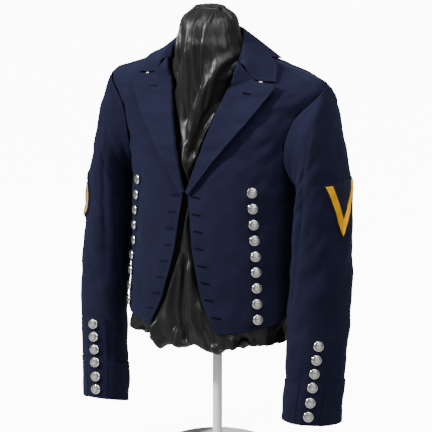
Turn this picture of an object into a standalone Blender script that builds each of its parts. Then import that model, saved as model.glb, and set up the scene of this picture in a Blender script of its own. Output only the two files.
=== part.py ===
"""Military parade jacket on a covered display bust.

Metres, +Z up, the wearer faces -Y and the wearer's left is +X. The origin is the centre of
the stand's underside. Every sewn piece is a thin wall through points worked out from the
sections below, whose heights are measured from a level RISE above the origin. The right-hand
pieces repeat the left-hand ones with x turned round.
"""
import bpy
import bmesh
import numpy as np
from mathutils import Matrix, Vector

RISE = 0.060

# Cloth, seams and laps
WALL = 0.0018
SKIN = 0.0014
SEAM_HALF_GAP = 0.0003
LAP_GAP = 0.0004
SKIN_LIFT = WALL / 2 + SKIN / 2 + LAP_GAP
CUFF_LIFT = SKIN_LIFT + 0.0002
PLACKET_LIFT = SKIN_LIFT + 0.0003

# Torso of the jacket, one row for each level from below the hem to the neckline.
# Columns: front z, side z, back z, half width, side y, front y, back y, squareness
BODY_SECTIONS = (
    (0.170, 0.170, 0.170, 0.164, 0.000, -0.137, 0.112, 2.4),
    (0.250, 0.250, 0.250, 0.162, 0.000, -0.135, 0.110, 2.4),
    (0.360, 0.360, 0.360, 0.158, 0.000, -0.127, 0.104, 2.3),
    (0.475, 0.475, 0.475, 0.162, 0.000, -0.116, 0.108, 2.2),
    (0.545, 0.545, 0.550, 0.172, 0.000, -0.104, 0.116, 2.2),
    (0.600, 0.605, 0.615, 0.190, 0.002, -0.088, 0.112, 2.2),
    (0.636, 0.657, 0.665, 0.216, 0.002, -0.070, 0.095, 2.0),
    (0.655, 0.687, 0.698, 0.145, 0.000, -0.062, 0.070, 2.0),
    (0.668, 0.717, 0.722, 0.078, -0.022, -0.080, 0.035, 2.0),
)
TIP_LEVEL = 6.0
NECK_LEVEL = 8.0
TORSO_CENTRE = np.array([0.0, 0.0, 0.45])
FRONT_DEPTH = 0.10
OUTWARD_SHARE = np.array([1.0, 1.0, 0.35])

# Hem height by width of the front, and by angle round the side and back
HEM_BY_ANGLE = ((0, 0.226), (24, 0.228), (60, 0.238), (90, 0.250), (130, 0.247), (180, 0.236))

# Edge of the front: height and width, from the hem corner past the closure to the neck point
FRONT_EDGE = ((0.150, 0.098), (0.228, 0.065), (0.280, 0.040), (0.365, 0.018), (0.471, 0.0045),
              (0.695, 0.0725), (0.717, 0.0770))
CLOSURE = (0.0045, 0.471)
GORGE_TOP = (0.0725, 0.695)
GORGE_END = (0.099, 0.668)
LAPEL_TIP = (0.145, 0.657)
LAPEL_EDGE = ((0.0085, 0.4690), (0.0255, 0.4920), (0.0490, 0.5260), (0.0745, 0.5600),
              (0.1065, 0.6025), (0.1450, 0.6570))

# Seams of the torso, as angles from the centre front
SIDE_SEAM = 88.0
BACK_SEAM = ((0.0, 140.0), (2.0, 138.0), (3.2, 133.0), (4.0, 124.0), (4.6, 114.0))
SHOULDER_SEAM = 90.0

# Armhole: a closed curve round the side of the torso
UNDERARM_LEVEL = 3.05
ARMHOLE_FRONT_REACH = 28.0
ARMHOLE_BACK_REACH = 32.0
ARMHOLE_LAP = 0.0016
SHOULDER_LAP_SHARE = 1.6
SHOULDER_LAP_LIFT = 0.0005

# Sleeve, one row for each ring from the armhole to the wrist.
# Columns: outer x, outer z, inner x, inner z, middle y, depth ahead, depth behind, turn
SLEEVE_SECTIONS = (
    (0.216, 0.655, 0.168, 0.478, 0.002, 0.062, 0.068, 0.0),
    (0.222, 0.641, 0.175, 0.474, 0.002, 0.067, 0.072, 0.0),
    (0.230, 0.604, 0.177, 0.466, 0.000, 0.069, 0.075, 0.0),
    (0.243, 0.545, 0.176, 0.445, -0.002, 0.070, 0.074, 3.0),
    (0.255, 0.480, 0.173, 0.415, -0.004, 0.068, 0.070, 8.0),
    (0.259, 0.400, 0.173, 0.355, -0.008, 0.066, 0.066, 15.0),
    (0.262, 0.325, 0.174, 0.300, -0.014, 0.064, 0.063, 22.0),
    (0.262, 0.240, 0.176, 0.228, -0.024, 0.062, 0.060, 28.0),
    (0.262, 0.150, 0.178, 0.146, -0.036, 0.058, 0.056, 30.0),
    (0.260, 0.064, 0.179, 0.068, -0.048, 0.055, 0.054, 30.0),
)
CUFF_STATION = 9.0
CUFF_STATIONS = np.array([8.10, 8.55, 9.0])
FRONT_SLEEVE_SEAM = 125.0
BACK_SLEEVE_SEAM = 230.0
TOP_SLEEVE_PHI = np.linspace(BACK_SLEEVE_SEAM - 360, FRONT_SLEEVE_SEAM, 19)
UNDER_SLEEVE_PHI = np.linspace(FRONT_SLEEVE_SEAM, BACK_SLEEVE_SEAM, 9)

# How each arm hangs: out at the elbow, out, ahead and down at the wrist, the cuff's tilt
HANG = {"left": (0.0, 0.0, 0.0, 0.0, 0.14), "right": (0.018, -0.015, 0.020, 0.026, 0.36)}

# Soft folds: side, first angle and level, last angle and level, half width and depth
TORSO_FOLDS = (
    ("left", 48, 3.6, 66, 4.3, 0.012, 0.0030),
    ("left", 62, 2.75, 88, 2.95, 0.008, 0.0024),
    ("left", 66, 2.35, 90, 2.45, 0.009, 0.0022),
    ("left", 120, 2.5, 150, 2.9, 0.012, 0.0024),
    ("right", 50, 3.7, 66, 4.3, 0.012, 0.0026),
    ("right", 64, 2.6, 88, 2.8, 0.009, 0.0022),
    ("right", 118, 2.7, 150, 3.0, 0.012, 0.0022),
)
SLEEVE_FOLDS = (
    ("left", 88, 1.8, 92, 6.4, 0.009, 0.0040),
    ("left", 20, 5.4, 70, 6.2, 0.012, 0.0022),
    ("left", 190, 3.6, 230, 5.4, 0.012, 0.0030),
    ("left", 300, 4.8, 340, 6.0, 0.012, 0.0026),
    ("right", 100, 1.8, 104, 5.8, 0.009, 0.0036),
    ("right", 150, 2.6, 152, 6.8, 0.010, 0.0036),
    ("right", 30, 5.2, 76, 6.0, 0.012, 0.0024),
    ("right", 300, 4.6, 338, 5.8, 0.012, 0.0026),
)
TORSO_METRIC = (0.0024, 0.095)
SLEEVE_METRIC = (0.0011, 0.080)

# Collar stations from the centre back to the side: where the stand is sewn, the roll at
# the top, the free edge of the fall, and how far the fall stands off the shoulder.
# Columns: seam angle, roll x, roll y, roll z, edge angle, edge level, lift
COLLAR_STATIONS = (
    (180.0, 0.000, 0.026, 0.752, 180.0, 6.92, 0.0042),
    (140.0, 0.038, 0.017, 0.751, 141.0, 7.02, 0.0038),
    (110.0, 0.056, -0.005, 0.745, 113.0, 7.28, 0.0036),
    (92.0, 0.066, -0.026, 0.732, 93.0, 7.46, 0.0038),
)
COLLAR_SEAM_RISE = 0.0024
COLLAR_ROLL = 0.0042
COLLAR_LIFT = 0.0054
COLLAR_EDGE_EXTRA = 0.0006
COLLAR_INSIDE = np.array([-1.0, 0.15, 0.25]) / 1.042
COLLAR_OVER_STEP = (0.007, -0.004)

# The two front stations: seam, roll, middle and edge; seam, middle and edge are width and height
COLLAR_FRONT = (
    ((0.0750, 0.7060), (0.0712, -0.0390, 0.7170), (0.1000, 0.6940), (0.1280, 0.6900)),
    ((0.0725, 0.6965), (0.0690, -0.0470, 0.6990), (0.0990, 0.6700), (0.1390, 0.6645)),
)

# Lapels
LAPEL_LIFT = 0.0054
LAPEL_EDGE_LIFT = 0.0064
NOTCH_GAP = 0.0012
ROLL_TURN = ((0.0008, 0.0000), (0.0022, 0.0004), (0.0034, 0.0024), (0.0024, 0.0046))

# Buttons
BUTTON_RADIUS = 0.009
BUTTON_SIDES = 8
BUTTON_PROFILE = ((0.003, 0.0), (0.003, 0.0018), (BUTTON_RADIUS, 0.0028), (0.0066, 0.0058),
                  (0.0022, 0.0066))
FRONT_BUTTONS = 9
FRONT_BUTTON_TOP = (0.116, 0.478)
FRONT_BUTTON_BOTTOM = (0.131, 0.2515)
CUFF_BUTTONS = 6
CUFF_BUTTON_STATIONS = (7.33, 8.72)

# Cuffs: a turned band crossed by an upright placket
PLACKET_STATION = 7.16
PLACKET_HALF_WIDTH = 0.0215
PLACKET_ARC = {"left": (0.026, 0.037), "right": (0.065, 0.064)}

# Sleeve marks, centred on the outer line of each sleeve
CHEVRON_TIP_Z = 0.403
CHEVRON_TOP_Z = 0.494
CHEVRON_HALF_WIDTH = 0.0430
CHEVRON_THICK = 0.028
CHEVRON_MARGIN = 0.0035
MARK_STATION = 4.6
MARK_LIFT = SKIN_LIFT + SKIN + LAP_GAP
BADGE_CENTRE_Z = 0.430
BADGE_ARC = 0.027
BADGE_HALF_WIDTH = 0.031
BADGE_HALF_HEIGHT = 0.042
BADGE_MARGIN = 0.004
BADGE_RING_INNER = 0.74
BADGE_STAR_RADIUS = 0.019

# Bust and stand
BUST_BOTTOM_Z = 0.190
# Neck sections: height, half width, front y, back y
NECK_SECTIONS = (
    (0.724, 0.0635, -0.090, 0.024),
    (0.743, 0.0570, -0.086, 0.018),
    (0.762, 0.0550, -0.083, 0.020),
    (0.7765, 0.0510, -0.074, 0.020),
    (0.789, 0.0400, -0.056, 0.010),
)
NECK_MIDDLE_Y = -0.026
BUST_BOTTOM_RADII = (0.80, 0.94, 1.0)
BUST_LEVELS = (0.46, 0.75, 0.95, 1.4, 2.0, 2.6, 3.2, 3.9, 4.6, 5.2, 5.7)
BUST_REST = WALL / 2 + 0.0006
BUST_INSET = ((0.42, 0.001), (0.75, 0.0035), (1.0, 0.0055), (2.0, 0.012), (3.0, 0.014),
              (4.0, 0.013), (5.0, 0.012), (6.0, 0.010), (7.0, 0.009), (8.0, 0.010))
# The cover hangs straight from the neck to the chest, inside the opening of the fronts
DRAPE_FOOT = (0.545, 0.172, -0.091)
DRAPE_MARGIN = 0.010
AHEAD_ANGLES = (25.0, 40.0)
DRAPE_FADE = 0.018
DRAPE_ANGLES = np.array([5.0, 10.0, 20.0, 25.0])
BUST_ANGLES = np.sort(np.concatenate([np.arange(-180, 180, 15.0), -DRAPE_ANGLES, DRAPE_ANGLES]))
SHOULDER_REST_ANGLE = 22.0
POLE_RADIUS = 0.009
METAL_GAP = 0.0003
BASE_PROFILE = ((0.115, 0.0), (0.115, 0.011), (0.112, 0.014), (0.040, 0.016))
SOCKET_PROFILE = ((0.027, 0.016 + METAL_GAP), (0.024, 0.019), (0.016, 0.040))


def clear_scene():
    for item in list(bpy.data.objects):
        bpy.data.objects.remove(item, do_unlink=True)


def make_material(name, colour, roughness, metallic=0.0):
    material = bpy.data.materials.new(name)
    material.use_nodes = True
    shader = material.node_tree.nodes["Principled BSDF"]
    shader.inputs["Base Color"].default_value = (*colour, 1.0)
    shader.inputs["Roughness"].default_value = roughness
    shader.inputs["Metallic"].default_value = metallic
    return material


def smooth_rows(rows, station):
    """Catmull-Rom interpolation down the rows of a table, one value for each column."""
    table = np.asarray(rows, float)
    last = len(table) - 1
    station = np.clip(np.asarray(station, float), 0.0, last)
    index = np.minimum(station.astype(int), last - 1)
    t = (station - index)[..., None]
    before = table[np.maximum(index - 1, 0)]
    here = table[index]
    after = table[index + 1]
    beyond = table[np.minimum(index + 2, last)]
    return 0.5 * (2 * here + (after - before) * t
                  + (2 * before - 5 * here + 4 * after - beyond) * t ** 2
                  + (3 * here - before - 3 * after + beyond) * t ** 3)


def by_steps(table, value):
    """Straight-line reading of a short two-column table."""
    keys, values = zip(*table)
    return np.interp(value, keys, values)


def ease(value):
    value = np.clip(value, 0.0, 1.0)
    return value * value * (3 - 2 * value)


def fold_depth(folds, side, metric, u, v):
    """Depth of the soft folds at a place on the cloth."""
    depth = 0.0
    for fold_side, u0, v0, u1, v1, half_width, deepest in folds:
        if fold_side != side:
            continue
        along = np.array([(u1 - u0) * metric[0], (v1 - v0) * metric[1]])
        here = np.stack(np.broadcast_arrays((u - u0) * metric[0], (v - v0) * metric[1]), -1)
        share = here @ along / (along @ along)
        miss = here - np.clip(share, 0, 1)[..., None] * along
        distance = np.linalg.norm(miss, axis=-1)
        fade = np.cos(np.clip(share - 0.5, -0.5, 0.5) * np.pi * 0.8)
        depth = depth + deepest * fade * np.exp(-(distance / half_width) ** 2)
    return depth


def body_section(angle, level):
    """Point of the plain torso: angle 0 is the front, 90 the side, 180 the back."""
    angle = np.asarray(angle, float)
    level = np.asarray(level, float)
    angle, level = np.broadcast_arrays(angle, level)
    row = smooth_rows(BODY_SECTIONS, level)
    front_z, side_z, back_z, half_width, side_y, front_y, back_y, square = np.moveaxis(row, -1, 0)
    across = np.sin(np.radians(angle))
    along = np.cos(np.radians(angle))
    reach = (np.abs(across) ** square + np.abs(along) ** square) ** (-1 / square)
    facing = along > 0
    depth = np.where(facing, side_y - front_y, back_y - side_y)
    end_z = np.where(facing, front_z, back_z)
    return np.stack([half_width * reach * across,
                     side_y - depth * reach * along,
                     side_z + (end_z - side_z) * along ** 2], -1)


def surface_normal(surface, u, v, du, dv, outward):
    """Unit normal of a surface function, turned to the side that `outward` points to."""
    along_u = surface(u + du, v) - surface(u - du, v)
    along_v = surface(u, v + dv) - surface(u, v - dv)
    normal = np.cross(along_u, along_v)
    normal /= np.linalg.norm(normal, axis=-1, keepdims=True)
    turned = np.sum(normal * outward, -1, keepdims=True)
    return np.where(turned < 0, -normal, normal)


def body_normal(angle, level):
    place = body_section(angle, level)
    outward = (place - TORSO_CENTRE) * OUTWARD_SHARE
    level = np.clip(level, 0.03, NECK_LEVEL - 0.03)
    return surface_normal(body_section, angle, level, 0.5, 0.02, outward)


def body_point(side, angle, level, lift=0.0):
    """Point on the jacket's torso with its folds, `lift` outside the middle of the cloth."""
    angle, level = np.broadcast_arrays(np.asarray(angle, float), np.asarray(level, float))
    offset = lift - fold_depth(TORSO_FOLDS, side, TORSO_METRIC, angle, level)
    return body_section(angle, level) + body_normal(angle, level) * np.asarray(offset)[..., None]


def front_at(x, z):
    """Angle and level of the front surface at a given width and height."""
    x, z = np.broadcast_arrays(np.asarray(x, float), np.asarray(z, float))
    angle = np.degrees(np.arctan2(x, FRONT_DEPTH))
    level = np.interp(z, [row[1] for row in BODY_SECTIONS], range(len(BODY_SECTIONS))) - 0.1
    small_angle = 0.2
    small_level = 0.01
    for _ in range(14):
        place = body_section(angle, level)
        by_angle = (body_section(angle + small_angle, level) - place) / small_angle
        by_level = (body_section(angle, level + small_level) - place) / small_level
        miss_x = x - place[..., 0]
        miss_z = z - place[..., 2]
        area = by_angle[..., 0] * by_level[..., 2] - by_level[..., 0] * by_angle[..., 2]
        angle = angle + (miss_x * by_level[..., 2] - miss_z * by_level[..., 0]) / area
        level = level + (miss_z * by_angle[..., 0] - miss_x * by_angle[..., 2]) / area
        angle = np.clip(angle, 0.0, 89.0)
        level = np.clip(level, 0.0, NECK_LEVEL - 2 * small_level)
    return angle, level


def front_edge_angle(level):
    """Angle at which each level meets the front edge or the roll line."""
    low = np.zeros_like(level)
    high = np.full_like(level, 89.0)
    for _ in range(40):
        middle = (low + high) / 2
        place = body_section(middle, level)
        inside = place[..., 0] < by_steps(FRONT_EDGE, place[..., 2])
        low = np.where(inside, middle, low)
        high = np.where(inside, high, middle)
    return (low + high) / 2


def hem_level(angle):
    first, second = BODY_SECTIONS[0], BODY_SECTIONS[1]
    return (by_steps(HEM_BY_ANGLE, angle) - first[1]) / (second[1] - first[1])


def armhole(phi):
    """Angle and level of the armhole: phi 0 is the shoulder tip, 90 the front, 180 below."""
    middle = (TIP_LEVEL + UNDERARM_LEVEL) / 2
    half = (TIP_LEVEL - UNDERARM_LEVEL) / 2
    swing = np.sin(np.radians(phi))
    reach = np.where(swing > 0, ARMHOLE_FRONT_REACH, ARMHOLE_BACK_REACH)
    return 90 - reach * swing, middle + half * np.cos(np.radians(phi))


def armhole_angle(level, reach):
    """How far round the armhole reaches at a level, in degrees from the side."""
    middle = (TIP_LEVEL + UNDERARM_LEVEL) / 2
    half = (TIP_LEVEL - UNDERARM_LEVEL) / 2
    share = np.clip((level - middle) / half, -1, 1)
    return reach * np.sqrt(1 - share ** 2)


def plain_sleeve(side, phi, station):
    """Point of the plain sleeve: phi 0 is the outer line, 90 the front, 180 the body side."""
    phi, station = np.broadcast_arrays(np.asarray(phi, float), np.asarray(station, float))
    row = smooth_rows(SLEEVE_SECTIONS, station)
    outer_x, outer_z, inner_x, inner_z, middle_y, front, back, turn = np.moveaxis(row, -1, 0)
    out = np.cos(np.radians(phi))
    ahead = np.sin(np.radians(phi))
    depth = np.where(ahead > 0, front, back)
    x = (outer_x - inner_x) / 2 * out
    y = -depth * ahead
    turn = np.radians(turn)
    elbow, wrist, forward, drop, tilt = HANG[side]
    share = ease(station / CUFF_STATION)
    bow = np.sin(np.pi * np.clip(station / CUFF_STATION, 0, 1) ** 2) ** 2
    ahead_y = -x * np.sin(turn) + y * np.cos(turn)
    z = (outer_z + inner_z) / 2 + (outer_z - inner_z) / 2 * out
    return np.stack([(outer_x + inner_x) / 2 + x * np.cos(turn) + y * np.sin(turn)
                     + bow * elbow + share * wrist,
                     middle_y + ahead_y - forward * share,
                     z - drop * share - tilt * ahead_y * ease((station - 5) / 4)], -1)


def sleeve_section(side, phi, station):
    """The plain sleeve, drawn at its head onto the torso round the armhole."""
    phi, station = np.broadcast_arrays(np.asarray(phi, float), np.asarray(station, float))
    place = plain_sleeve(side, phi, station)
    angle, level = armhole(phi)
    lap_angle = -ARMHOLE_LAP / TORSO_METRIC[0] * np.sin(np.radians(phi))
    lap_level = ARMHOLE_LAP / TORSO_METRIC[1] * SHOULDER_LAP_SHARE * np.cos(np.radians(phi))
    upper = WALL + LAP_GAP + SHOULDER_LAP_LIFT
    lower = WALL / 2 + LAP_GAP
    share = ease((1 - np.cos(np.radians(phi))) / 2 * 2 - 1)
    lift = upper + (lower - upper) * share
    head = body_section(angle + lap_angle, level + lap_level)
    head = head + body_normal(angle + lap_angle, level + lap_level) * lift[..., None]
    fade = np.clip(1 - station / 2, 0, 1) ** 2
    return place + (head - plain_sleeve(side, phi, np.zeros_like(station))) * fade[..., None]


def sleeve_normal(side, phi, station):
    place = sleeve_section(side, phi, station)
    around = np.stack([sleeve_section(side, p, station) for p in (0.0, 90.0, 180.0, 270.0)])
    outward = place - around.mean(0)

    def surface(u, v):
        return sleeve_section(side, u, v)

    station = np.clip(station, 0.03, CUFF_STATION - 0.03)
    return surface_normal(surface, phi, station, 0.5, 0.02, outward)


def sleeve_point(side, phi, station, lift=0.0):
    phi, station = np.broadcast_arrays(np.asarray(phi, float), np.asarray(station, float))
    offset = lift - fold_depth(SLEEVE_FOLDS, side, SLEEVE_METRIC, phi % 360, station)
    place = sleeve_section(side, phi, station)
    return place + sleeve_normal(side, phi, station) * np.asarray(offset)[..., None]


def phi_at(side, arc, reference):
    """Phi at a distance round the cloth, ahead of the outer line, on one ring."""
    angles = np.linspace(-170, 190, 181)
    ring = sleeve_section(side, angles, np.full_like(angles, reference))
    steps = np.linalg.norm(np.diff(ring, axis=0), axis=1)
    length = np.concatenate([[0.0], np.cumsum(steps)])
    length -= np.interp(0.0, angles, length)
    return np.interp(arc, length, angles)


def station_at(side, phi, z):
    """Station of a height on the line of a given phi."""
    station = np.full_like(phi, 6.0)
    small = 0.01
    for _ in range(10):
        height = sleeve_section(side, phi, station)[..., 2]
        lower = sleeve_section(side, phi, station + small)[..., 2]
        station = np.clip(station + (z - height) * small / (lower - height), 2.0, CUFF_STATION - 0.02)
    return station


def flip(side, points):
    """Left-hand points as they are, right-hand points with x turned round."""
    return points * np.array([1.0 if side == "left" else -1.0, 1.0, 1.0])


def link(name, mesh, material):
    mesh.materials.append(material)
    mesh.shade_smooth()
    item = bpy.data.objects.new(name, mesh)
    item.location.z = RISE
    bpy.context.collection.objects.link(item)
    return item


def sheet(name, points, material, thickness=WALL, closed=False):
    """A wall of cloth through a grid of points, half its thickness to each side."""
    rows, columns = points.shape[:2]
    mesh = bpy.data.meshes.new(name)
    across = columns if closed else columns - 1
    faces = []
    for row in range(rows - 1):
        for column in range(across):
            after = (column + 1) % columns
            faces.append((row * columns + column, row * columns + after,
                          (row + 1) * columns + after, (row + 1) * columns + column))
    mesh.from_pydata(points.reshape(-1, 3).tolist(), [], faces)
    mesh.update()
    item = link(name, mesh, material)
    wall = item.modifiers.new("wall", "SOLIDIFY")
    wall.thickness = thickness
    wall.offset = 0.0
    wall.use_even_offset = False
    wall.use_quality_normals = True
    return item


def loft(name, rings, material):
    """A closed solid through rings of points, from the bottom one to the top one."""
    count = rings.shape[1]
    mesh = bpy.data.meshes.new(name)
    faces = []
    for row in range(len(rings) - 1):
        for column in range(count):
            after = (column + 1) % count
            faces.append((row * count + column, row * count + after,
                          (row + 1) * count + after, (row + 1) * count + column))
    faces.append(tuple(reversed(range(count))))
    faces.append(tuple(range((len(rings) - 1) * count, len(rings) * count)))
    mesh.from_pydata(rings.reshape(-1, 3).tolist(), [], faces)
    mesh.update()
    shape = bmesh.new()
    shape.from_mesh(mesh)
    bmesh.ops.recalc_face_normals(shape, faces=shape.faces)
    shape.to_mesh(mesh)
    shape.free()
    return link(name, mesh, material)


def turned(name, profile, sides, material):
    """A turned solid from a profile of radius and height, bottom to top."""
    angles = np.radians(np.arange(sides) * 360 / sides)
    rings = np.array([[(radius * np.cos(a), radius * np.sin(a), height) for a in angles]
                      for radius, height in profile])
    return loft(name, rings, material)


def stand_on(item, place, normal):
    """Puts a piece with its own +Z along a normal."""
    turn = Vector(normal).to_track_quat("Z", "Y").to_matrix().to_4x4()
    item.matrix_world = Matrix.Translation(Vector(place) + Vector((0.0, 0.0, RISE))) @ turn


def spread(first, last, count):
    """Even steps from one value or array to another, along a new last axis."""
    share = np.linspace(0, 1, count)
    first = np.asarray(first, float)[..., None]
    last = np.asarray(last, float)[..., None]
    return first + (last - first) * share


def torso_levels():
    """Levels of the rows that all torso panels share, above the hem row."""
    side_rows = np.linspace(0.0, UNDERARM_LEVEL, 7)
    turn = np.linspace(0, np.pi, 9)
    arm_rows = (TIP_LEVEL + UNDERARM_LEVEL) / 2 - (TIP_LEVEL - UNDERARM_LEVEL) / 2 * np.cos(turn)
    top_rows = np.linspace(TIP_LEVEL, NECK_LEVEL - 0.02, 5)
    return side_rows, arm_rows, top_rows


def side_level(share, angle):
    """Level at a share of the way from the hem to the underarm."""
    hem = hem_level(angle)
    return hem + (UNDERARM_LEVEL - hem) * share


def pull(points, first=True, last=True, gap=SEAM_HALF_GAP):
    """Draws the first and last columns back from their seams."""
    points = points.copy()
    if first:
        step = points[:, 1] - points[:, 0]
        points[:, 0] += step / np.linalg.norm(step, axis=-1, keepdims=True) * gap
    if last:
        step = points[:, -2] - points[:, -1]
        points[:, -1] += step / np.linalg.norm(step, axis=-1, keepdims=True) * gap
    return points


def build_front(side, material):
    columns = 13
    side_rows, arm_rows, top_rows = torso_levels()
    share = side_rows / UNDERARM_LEVEL
    corner = front_edge_angle(np.full(1, hem_level(24.0)))[0]
    rows = []
    for value in share:
        edge = corner
        for _ in range(6):
            edge = front_edge_angle(np.array([side_level(value, edge)]))[0]
        angle = spread(edge, SIDE_SEAM, columns)
        rows.append((angle, side_level(value, angle)))
    for level in arm_rows[1:]:
        edge = front_edge_angle(np.array([level]))[0]
        outer = SHOULDER_SEAM - np.maximum(armhole_angle(level, ARMHOLE_FRONT_REACH), 0)
        blend = ease((level - UNDERARM_LEVEL) / 0.4)
        outer = np.minimum(outer, SIDE_SEAM + (SHOULDER_SEAM - SIDE_SEAM) * blend)
        rows.append((spread(edge, outer, columns), np.full(columns, level)))
    for level in top_rows[1:]:
        edge = front_edge_angle(np.array([level]))[0]
        rows.append((spread(edge, SHOULDER_SEAM, columns), np.full(columns, level)))
    angle = np.array([row[0] for row in rows])
    level = np.array([row[1] for row in rows])
    points = pull(body_point(side, angle, level), first=False)
    return sheet("front_" + side, flip(side, points), material)


def build_side_body(side, material):
    columns = 7
    side_rows, arm_rows, _ = torso_levels()
    rows = []
    for value in side_rows / UNDERARM_LEVEL:
        seam = by_steps(BACK_SEAM, value * UNDERARM_LEVEL)
        angle = spread(SIDE_SEAM, seam, columns)
        rows.append((angle, side_level(value, angle)))
    meet = BACK_SEAM[-1][0]
    for level in arm_rows[1:]:
        first = SHOULDER_SEAM + armhole_angle(level, ARMHOLE_BACK_REACH)
        seam = by_steps(BACK_SEAM, level)
        if first > seam - 4 or level > meet:
            break
        rows.append((spread(first, seam, columns), np.full(columns, level)))
    angle = np.array([row[0] for row in rows])
    level = np.array([row[1] for row in rows])
    points = pull(body_point(side, angle, level))
    return sheet("side_body_" + side, flip(side, points), material), rows[-1][1][0]


def build_back(side, side_top, material):
    columns = 10
    side_rows, arm_rows, top_rows = torso_levels()
    rows = []
    for value in side_rows / UNDERARM_LEVEL:
        seam = by_steps(BACK_SEAM, value * UNDERARM_LEVEL)
        angle = spread(seam, 180.0, columns)
        rows.append((angle, side_level(value, angle)))
    for level in arm_rows[1:]:
        seam = by_steps(BACK_SEAM, level)
        edge = SHOULDER_SEAM + armhole_angle(level, ARMHOLE_BACK_REACH)
        first = seam if level <= side_top + 1e-6 else edge
        rows.append((spread(first, 180.0, columns), np.full(columns, level)))
    for level in top_rows[1:]:
        rows.append((spread(SHOULDER_SEAM, 180.0, columns), np.full(columns, level)))
    angle = np.array([row[0] for row in rows])
    level = np.array([row[1] for row in rows])
    points = pull(body_point(side, angle, level))
    return sheet("back_" + side, flip(side, points), material)


def sleeve_stations():
    head = np.array([0.0, 0.25, 0.55, 0.95, 1.45])
    return np.concatenate([head, np.linspace(2.0, CUFF_STATIONS[0], 11), CUFF_STATIONS[1:]])


def build_sleeve(side, name, phi, material):
    phi = phi[None, :]
    station = sleeve_stations()[:, None]
    points = pull(sleeve_point(side, phi, station))
    return sheet(name + "_" + side, flip(side, points), material)


def placket_arc(side, station):
    """Distance of the placket's middle line ahead of the sleeve's outer line."""
    top, end = PLACKET_ARC[side]
    return end + (top - end) * (CUFF_STATION - station) / (CUFF_STATION - PLACKET_STATION)


def placket_point(side, offset, station, lift):
    """Point by its distance from the placket's middle line and its station."""
    phi = phi_at(side, placket_arc(side, station) + offset, 8.0)
    return sleeve_point(side, phi, station, lift)


def build_placket(side, material):
    offset, station = np.meshgrid(np.linspace(-1, 1, 6) * PLACKET_HALF_WIDTH,
                                  np.linspace(CUFF_STATION, PLACKET_STATION, 9))
    points = placket_point(side, offset, station, PLACKET_LIFT)
    return sheet("cuff_placket_" + side, flip(side, points), material, SKIN)


def build_cuff(side, material):
    edge = PLACKET_HALF_WIDTH + 2 * LAP_GAP
    whole = np.concatenate([TOP_SLEEVE_PHI, UNDER_SLEEVE_PHI[1:-1]])
    points = []
    for station in CUFF_STATIONS:
        middle = placket_arc(side, station)
        near, far = phi_at(side, np.array([middle + edge, middle - edge]), 8.0)
        far += 360
        turn = (whole - near) % 360
        inside = np.sort(turn[(turn > 4) & (turn < far - near - 4)]) + near
        phi = np.concatenate([[near], inside, [far]])
        points.append(sleeve_point(side, phi, np.full_like(phi, station), CUFF_LIFT))
    return sheet("cuff_" + side, flip(side, np.array(points)), material, SKIN)


def sleeve_patch(side, arc, z, lift):
    """Point of the sleeve by its distance round from the outer line and its height."""
    phi = phi_at(side, arc, MARK_STATION)
    return sleeve_point(side, phi, station_at(side, phi, z), lift)


def build_chevron(navy, gold):
    height = CHEVRON_TOP_Z - CHEVRON_TIP_Z
    share = np.linspace(-1, 1, 15)[:, None]
    across = np.linspace(0, 1, 3)[None, :]
    arc = share * CHEVRON_HALF_WIDTH * (1 - across * CHEVRON_THICK / height)
    z = CHEVRON_TIP_Z + across * CHEVRON_THICK + np.abs(share) * (height - across * CHEVRON_THICK)
    sheet("chevron", sleeve_patch("left", arc, z, MARK_LIFT), gold, SKIN)
    rise = np.linspace(0, 1, 7)[:, None]
    half = 0.0015 + rise * (CHEVRON_HALF_WIDTH + CHEVRON_MARGIN)
    arc = half * np.linspace(-1, 1, 11)[None, :]
    z = CHEVRON_TIP_Z - 2 * CHEVRON_MARGIN + rise * (height + 3 * CHEVRON_MARGIN) + 0 * arc
    sheet("chevron_backing", sleeve_patch("left", arc, z, SKIN_LIFT), navy, SKIN)


def oval(u, v):
    """A square grid drawn into a round one."""
    return u * np.sqrt(1 - v * v / 2), v * np.sqrt(1 - u * u / 2)


def build_badge(navy, gold):
    u, v = np.meshgrid(np.linspace(-1, 1, 8), np.linspace(-1, 1, 9))
    across, up = oval(u, v)
    arc = BADGE_ARC + across * (BADGE_HALF_WIDTH + BADGE_MARGIN)
    z = BADGE_CENTRE_Z + up * (BADGE_HALF_HEIGHT + BADGE_MARGIN)
    points = sleeve_patch("right", arc, z, SKIN_LIFT)
    sheet("badge_backing", flip("right", points), navy, SKIN)
    turn = np.radians(np.arange(24) * 15.0)[None, :]
    ring = np.linspace(1.0, BADGE_RING_INNER, 3)[:, None]
    points = sleeve_patch("right", BADGE_ARC + BADGE_HALF_WIDTH * ring * np.sin(turn),
                          BADGE_CENTRE_Z + BADGE_HALF_HEIGHT * ring * np.cos(turn), MARK_LIFT)
    sheet("badge_ring", flip("right", points), gold, SKIN, closed=True)
    turn = np.radians(np.arange(16) * 22.5)[None, :]
    reach = np.where(np.arange(16) % 2 == 0, 1.0, 0.5)[None, :]
    size = np.array([1.0, 0.55, 0.12])[:, None] * BADGE_STAR_RADIUS
    points = sleeve_patch("right", BADGE_ARC + size * reach * np.sin(turn),
                          BADGE_CENTRE_Z + size * reach * np.cos(turn), MARK_LIFT)
    sheet("badge_star", flip("right", points), gold, SKIN, closed=True)


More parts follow.
